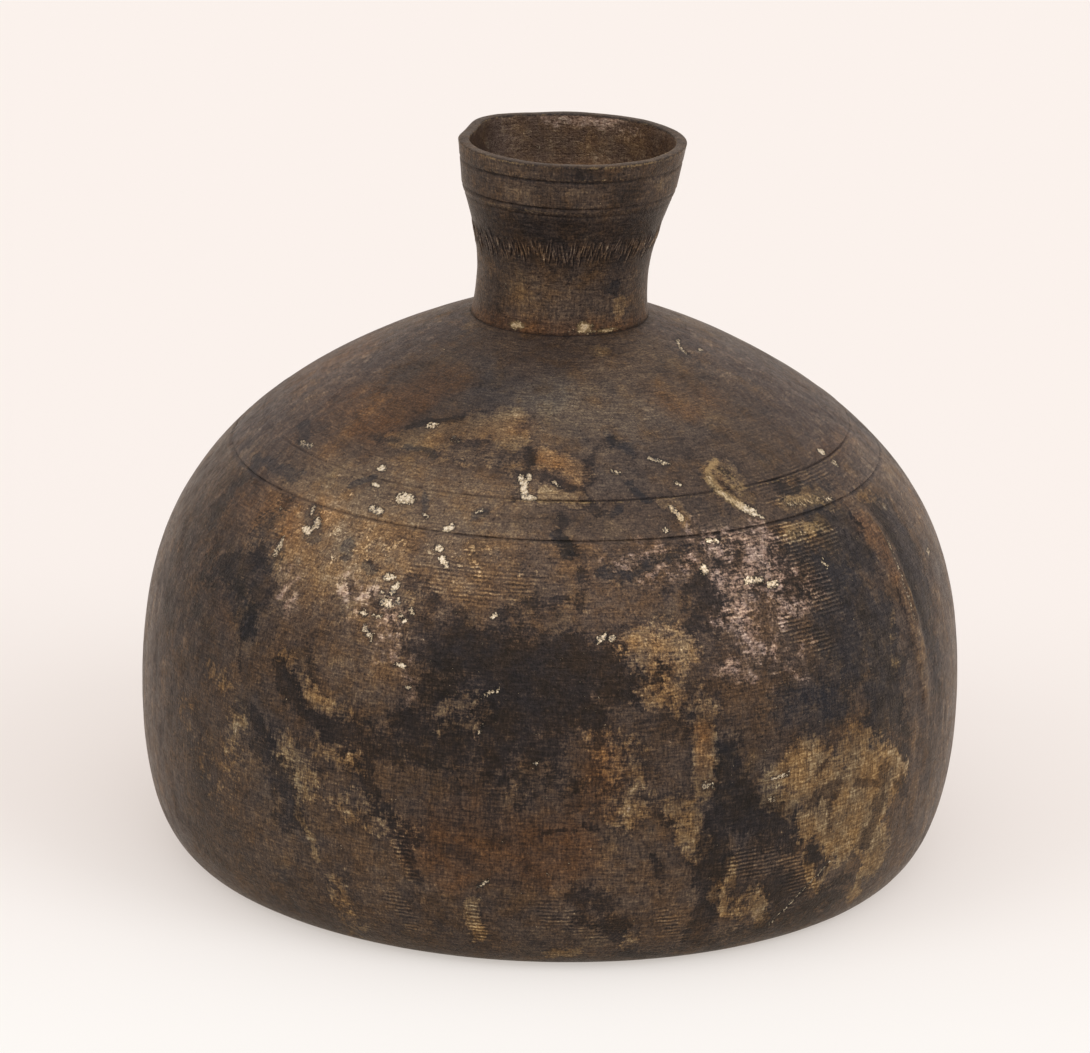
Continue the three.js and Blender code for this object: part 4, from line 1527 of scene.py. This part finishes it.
def patina_tone(g, layer, mask, stain, comb, look):
    """Tone of the patina, from 0, black-brown, to 1, cream."""
    # Streaks and scratches of the scuffs, a little pale: on the sides partly painted sheen
    bark = g.total((layer.streak, 0.6), (g.rise(layer.streak, 0.08, 0.14), 0.06), (layer.scratch, 0.18))
    bark = g.total((g.rise(layer.flake, 0.02, 0.12), 0.09), plus=bark)
    # Glints and gaps of the silver patches: partly painted sparkle
    mosaic = g.total(*weighed(layer, MOSAIC_LIFTS))
    return g.total(
        *weighed(layer, NOISE_LIFTS | FLAKE_LIFTS, look.mottling),
        *weighed(stain, STAIN_LIFTS),
        *weighed(mask, MASK_LIFTS),
        (stain.gold, look.gold_lift),
        (layer.turning, look.turning),
        (layer.falling, look.falling),
        (layer.scratch, SCRATCH_LIFT * look.falling),
        (g.times(mask.scuff, bark), 1.0),
        (g.times(stain.silver, mosaic), 1.0),
        (comb, 1.0),
        plus=look.base_tone,
    )


def patina_colour(g, layer, mask, stain, tone, coolness):
    """Colour of the patina: its tone, tinted by what the stains are made of."""
    colour = g.ramp(tone, TONE_STOPS)
    warmth = g.rise(layer.hue, coolness - HUE_SPREAD, coolness + HUE_SPREAD)
    colour = g.mix(warmth, g.scaled(colour, COOL_TINT), g.scaled(colour, WARM_TINT))
    for share, tint in [
        (g.highest(stain.gold, layer.ochre), GOLD_TINT),
        (g.times(layer.umber, 0.5), SLATE_TINT),
        (g.times(stain.rust, 0.7), RUST_TINT),
        (g.times(stain.slate, 0.8), SLATE_TINT),
        # Strokes and scuffs made cooler; on the sides this greying is partly painted sheen
        (g.rise(g.highest(mask.stroke, mask.scuff), 0.1, 1.0), COOL_TINT),
        (mask.haze, HAZE_TINT),
    ]:
        colour = g.mix(share, colour, g.scaled(colour, tint))
    silver = g.ramp(tone, SILVER_AND_SHEEN_STOPS)
    silver = g.mix(layer.blush, silver, g.scaled(silver, BLUSH_TINT))
    chip_tone = g.total((stain.chip, 0.6), (layer.mottle, 0.8), (layer.grain, 1.0))
    for share, cover_colour in [
        (stain.silver, silver),
        (g.times(mask.inner, 0.4), INNER_BROWN),
        (g.times(stain.cream, 0.85), g.ramp(chip_tone, CHIP_AND_GLINT_STOPS)),
        (g.times(stain.worn_and_glint, 0.55), PALE_GOLD),
    ]:
        colour = g.mix(share, colour, cover_colour)
    return colour


def patina_normal(g, layer, stain, comb, look):
    """Bumps of the patina: tool marks and grain, specks and pits, and the edges of chips and flakes."""
    lines = g.total((layer.turning, look.turning), (layer.falling, look.falling), (layer.grain, 0.7))
    specks = g.total((layer.speckle, 1.0), (layer.pit, -0.5), (comb, 1.0), (layer.scratch, 0.3))
    edges = g.total((stain.cream, -1.0), (stain.gold, -0.3), (stain.slate, -0.3))
    edges = g.total(*weighed(layer, FLAKE_LIFTS, look.mottling), plus=edges)
    normal = None
    for height, depth in [(lines, 0.18), (specks, 0.2), (edges, 0.2)]:
        normal = g.bump(height, depth, normal)
    return normal


def patina(name, finish):
    """Old brown patina on turned metal, worn to tan and gold, stained dark, chipped to cream.

    One tone runs from black-brown to cream. The marks and several sizes of noise raise or lower it, so stains
    fade into each other through the browns between them.
    """
    # Parts of this patina are painted light: sheen in the silver patches and on the sides, highlights on the
    # neck, shadow round the chips
    material = bpy.data.materials.new(name)
    g = Graph(material)
    look = SimpleNamespace(**finish)
    mask = SimpleNamespace(**{label: g.attribute(label) for label in MASKS})
    layer = noise_layers(g, mask.along)
    stain = ragged_stains(g, layer, mask, look.raggedness)
    comb = comb_lines(g, layer, mask)
    tone = patina_tone(g, layer, mask, stain, comb, look)
    bare = g.highest(stain.gold, stain.silver)
    shader = g.add(
        "ShaderNodeBsdfPrincipled",
        Base_Color=patina_colour(g, layer, mask, stain, tone, look.coolness),
        Metallic=g.total((bare, 0.3), plus=look.metal),
        Roughness=g.total((layer.mottle, 0.5), (layer.speckle, 0.4), (bare, -0.05), plus=look.roughness),
        Normal=patina_normal(g, layer, stain, comb, look),
        Specular_IOR_Level=GRAZING_LEVEL,
        Specular_Tint=GRAZING_TINT,
    )
    g.add("ShaderNodeOutputMaterial", Surface=shader.outputs[0])
    return material


# Stage, light and camera

def seen_rays(g):
    """1 for rays from the camera and for what gloss or glass shows, 0 for light."""
    path = g.add("ShaderNodeLightPath")
    seen = g.highest(path.outputs["Is Camera Ray"], path.outputs["Is Glossy Ray"])
    return g.highest(seen, path.outputs["Is Transmission Ray"])


def stage_material():
    """Pale floor that keeps the shadow, with a glow that only the camera and reflections see, painted
    brighter towards the camera.
    """
    material = bpy.data.materials.new("pale_floor")
    g = Graph(material)
    depth = g.add("ShaderNodeSeparateXYZ", Vector=g.add("ShaderNodeTexCoord").outputs["Object"]).outputs["Y"]
    # Brighter towards the camera: a painted falloff of light on the floor
    nearness = g.rise(depth, *FLOOR_DEPTHS)
    lit = g.add("ShaderNodeBsdfDiffuse", Color=FLOOR_COLOUR)
    shown = g.add("ShaderNodeEmission", Color=g.mix(nearness, FLOOR_FAR, FLOOR_NEAR))
    mixed = g.add("ShaderNodeMixShader", Fac=g.times(seen_rays(g), FLOOR_GLOW))
    g.put(mixed.inputs[1], lit.outputs[0])
    g.put(mixed.inputs[2], shown.outputs[0])
    g.add("ShaderNodeOutputMaterial", Surface=mixed.outputs[0])
    return material


def floor():
    half = FLOOR_SIDE / 2
    mesh = bpy.data.meshes.new("floor")
    corners = [(-half, -half, 0), (half, -half, 0), (half, half, 0), (-half, half, 0)]
    mesh.from_pydata(corners, [], [(0, 1, 2, 3)])
    mesh.materials.append(stage_material())
    add_object("floor", mesh)


def world_light():
    """Warm white all round, seen at full strength by the camera and in reflections."""
    world = bpy.data.worlds.new("studio")
    g = Graph(world)
    strength = g.add("ShaderNodeMapRange", Value=seen_rays(g), To_Min=WORLD_LIGHT, To_Max=1.0)
    background = g.add("ShaderNodeBackground", Color=WORLD_COLOUR, Strength=strength.outputs[0])
    g.add("ShaderNodeOutputWorld", Surface=background.outputs[0])
    bpy.context.scene.world = world


def lamp(name, turn, rise, strength, spread):
    """A soft far lamp that shines on the bottle from an angle round it and above it."""
    data = bpy.data.lights.new(name, "SUN")
    data.energy = strength
    data.angle = math.radians(spread)
    data.color = LAMP_COLOUR
    light = add_object(name, data)
    around, up = math.radians(turn), math.radians(rise)
    towards = Vector((math.cos(up) * math.sin(around), -math.cos(up) * math.cos(around), math.sin(up)))
    light.location = towards
    light.rotation_euler = towards.to_track_quat("Z", "Y").to_euler()


def camera():
    """The photograph's view: a long lens from a little above, tipped slightly to one side."""
    rise = math.radians(CAMERA_RISE)
    roll = math.radians(CAMERA_ROLL)
    back = Vector((0, -math.cos(rise), math.sin(rise)))
    upright = Vector((0, math.sin(rise), math.cos(rise)))
    side = Vector((math.cos(roll), 0, 0)) + math.sin(roll) * upright
    top = back.cross(side)
    data = bpy.data.cameras.new("camera")
    data.sensor_fit = "HORIZONTAL"
    data.sensor_width = CAMERA_SENSOR
    data.lens = CAMERA_LENS
    view = add_object("camera", data)
    place = (Vector(CAMERA_AIM) + CAMERA_DISTANCE * back) * MM
    view.matrix_world = Matrix.Translation(place) @ Matrix((side, top, back)).transposed().to_4x4()
    bpy.context.scene.camera = view


camera()
floor()
world_light()
for lamp_name, aim in LAMPS.items():
    lamp(lamp_name, *aim)
bpy.context.scene.view_settings.view_transform = "Standard"

wall_metal = patina("wall_patina", WALL_FINISH)
shoulder_metal = patina("shoulder_patina", SHOULDER_FINISH)
neck_metal = patina("neck_patina", NECK_FINISH)
solder_metal = patina("solder_patina", SOLDER_FINISH)
base_metal = patina("base_patina", BASE_FINISH)

place_piece(lower_wall(wall_metal), "lower_wall")
place_piece(shoulder(shoulder_metal), "shoulder")
place_piece(girth_solder(solder_metal), "girth_solder")
place_piece(neck(neck_metal), "neck")
place_piece(neck_solder(solder_metal), "neck_solder")
place_piece(base_plate(base_metal), "base_plate")
place_piece(base_solder(base_metal), "base_solder")
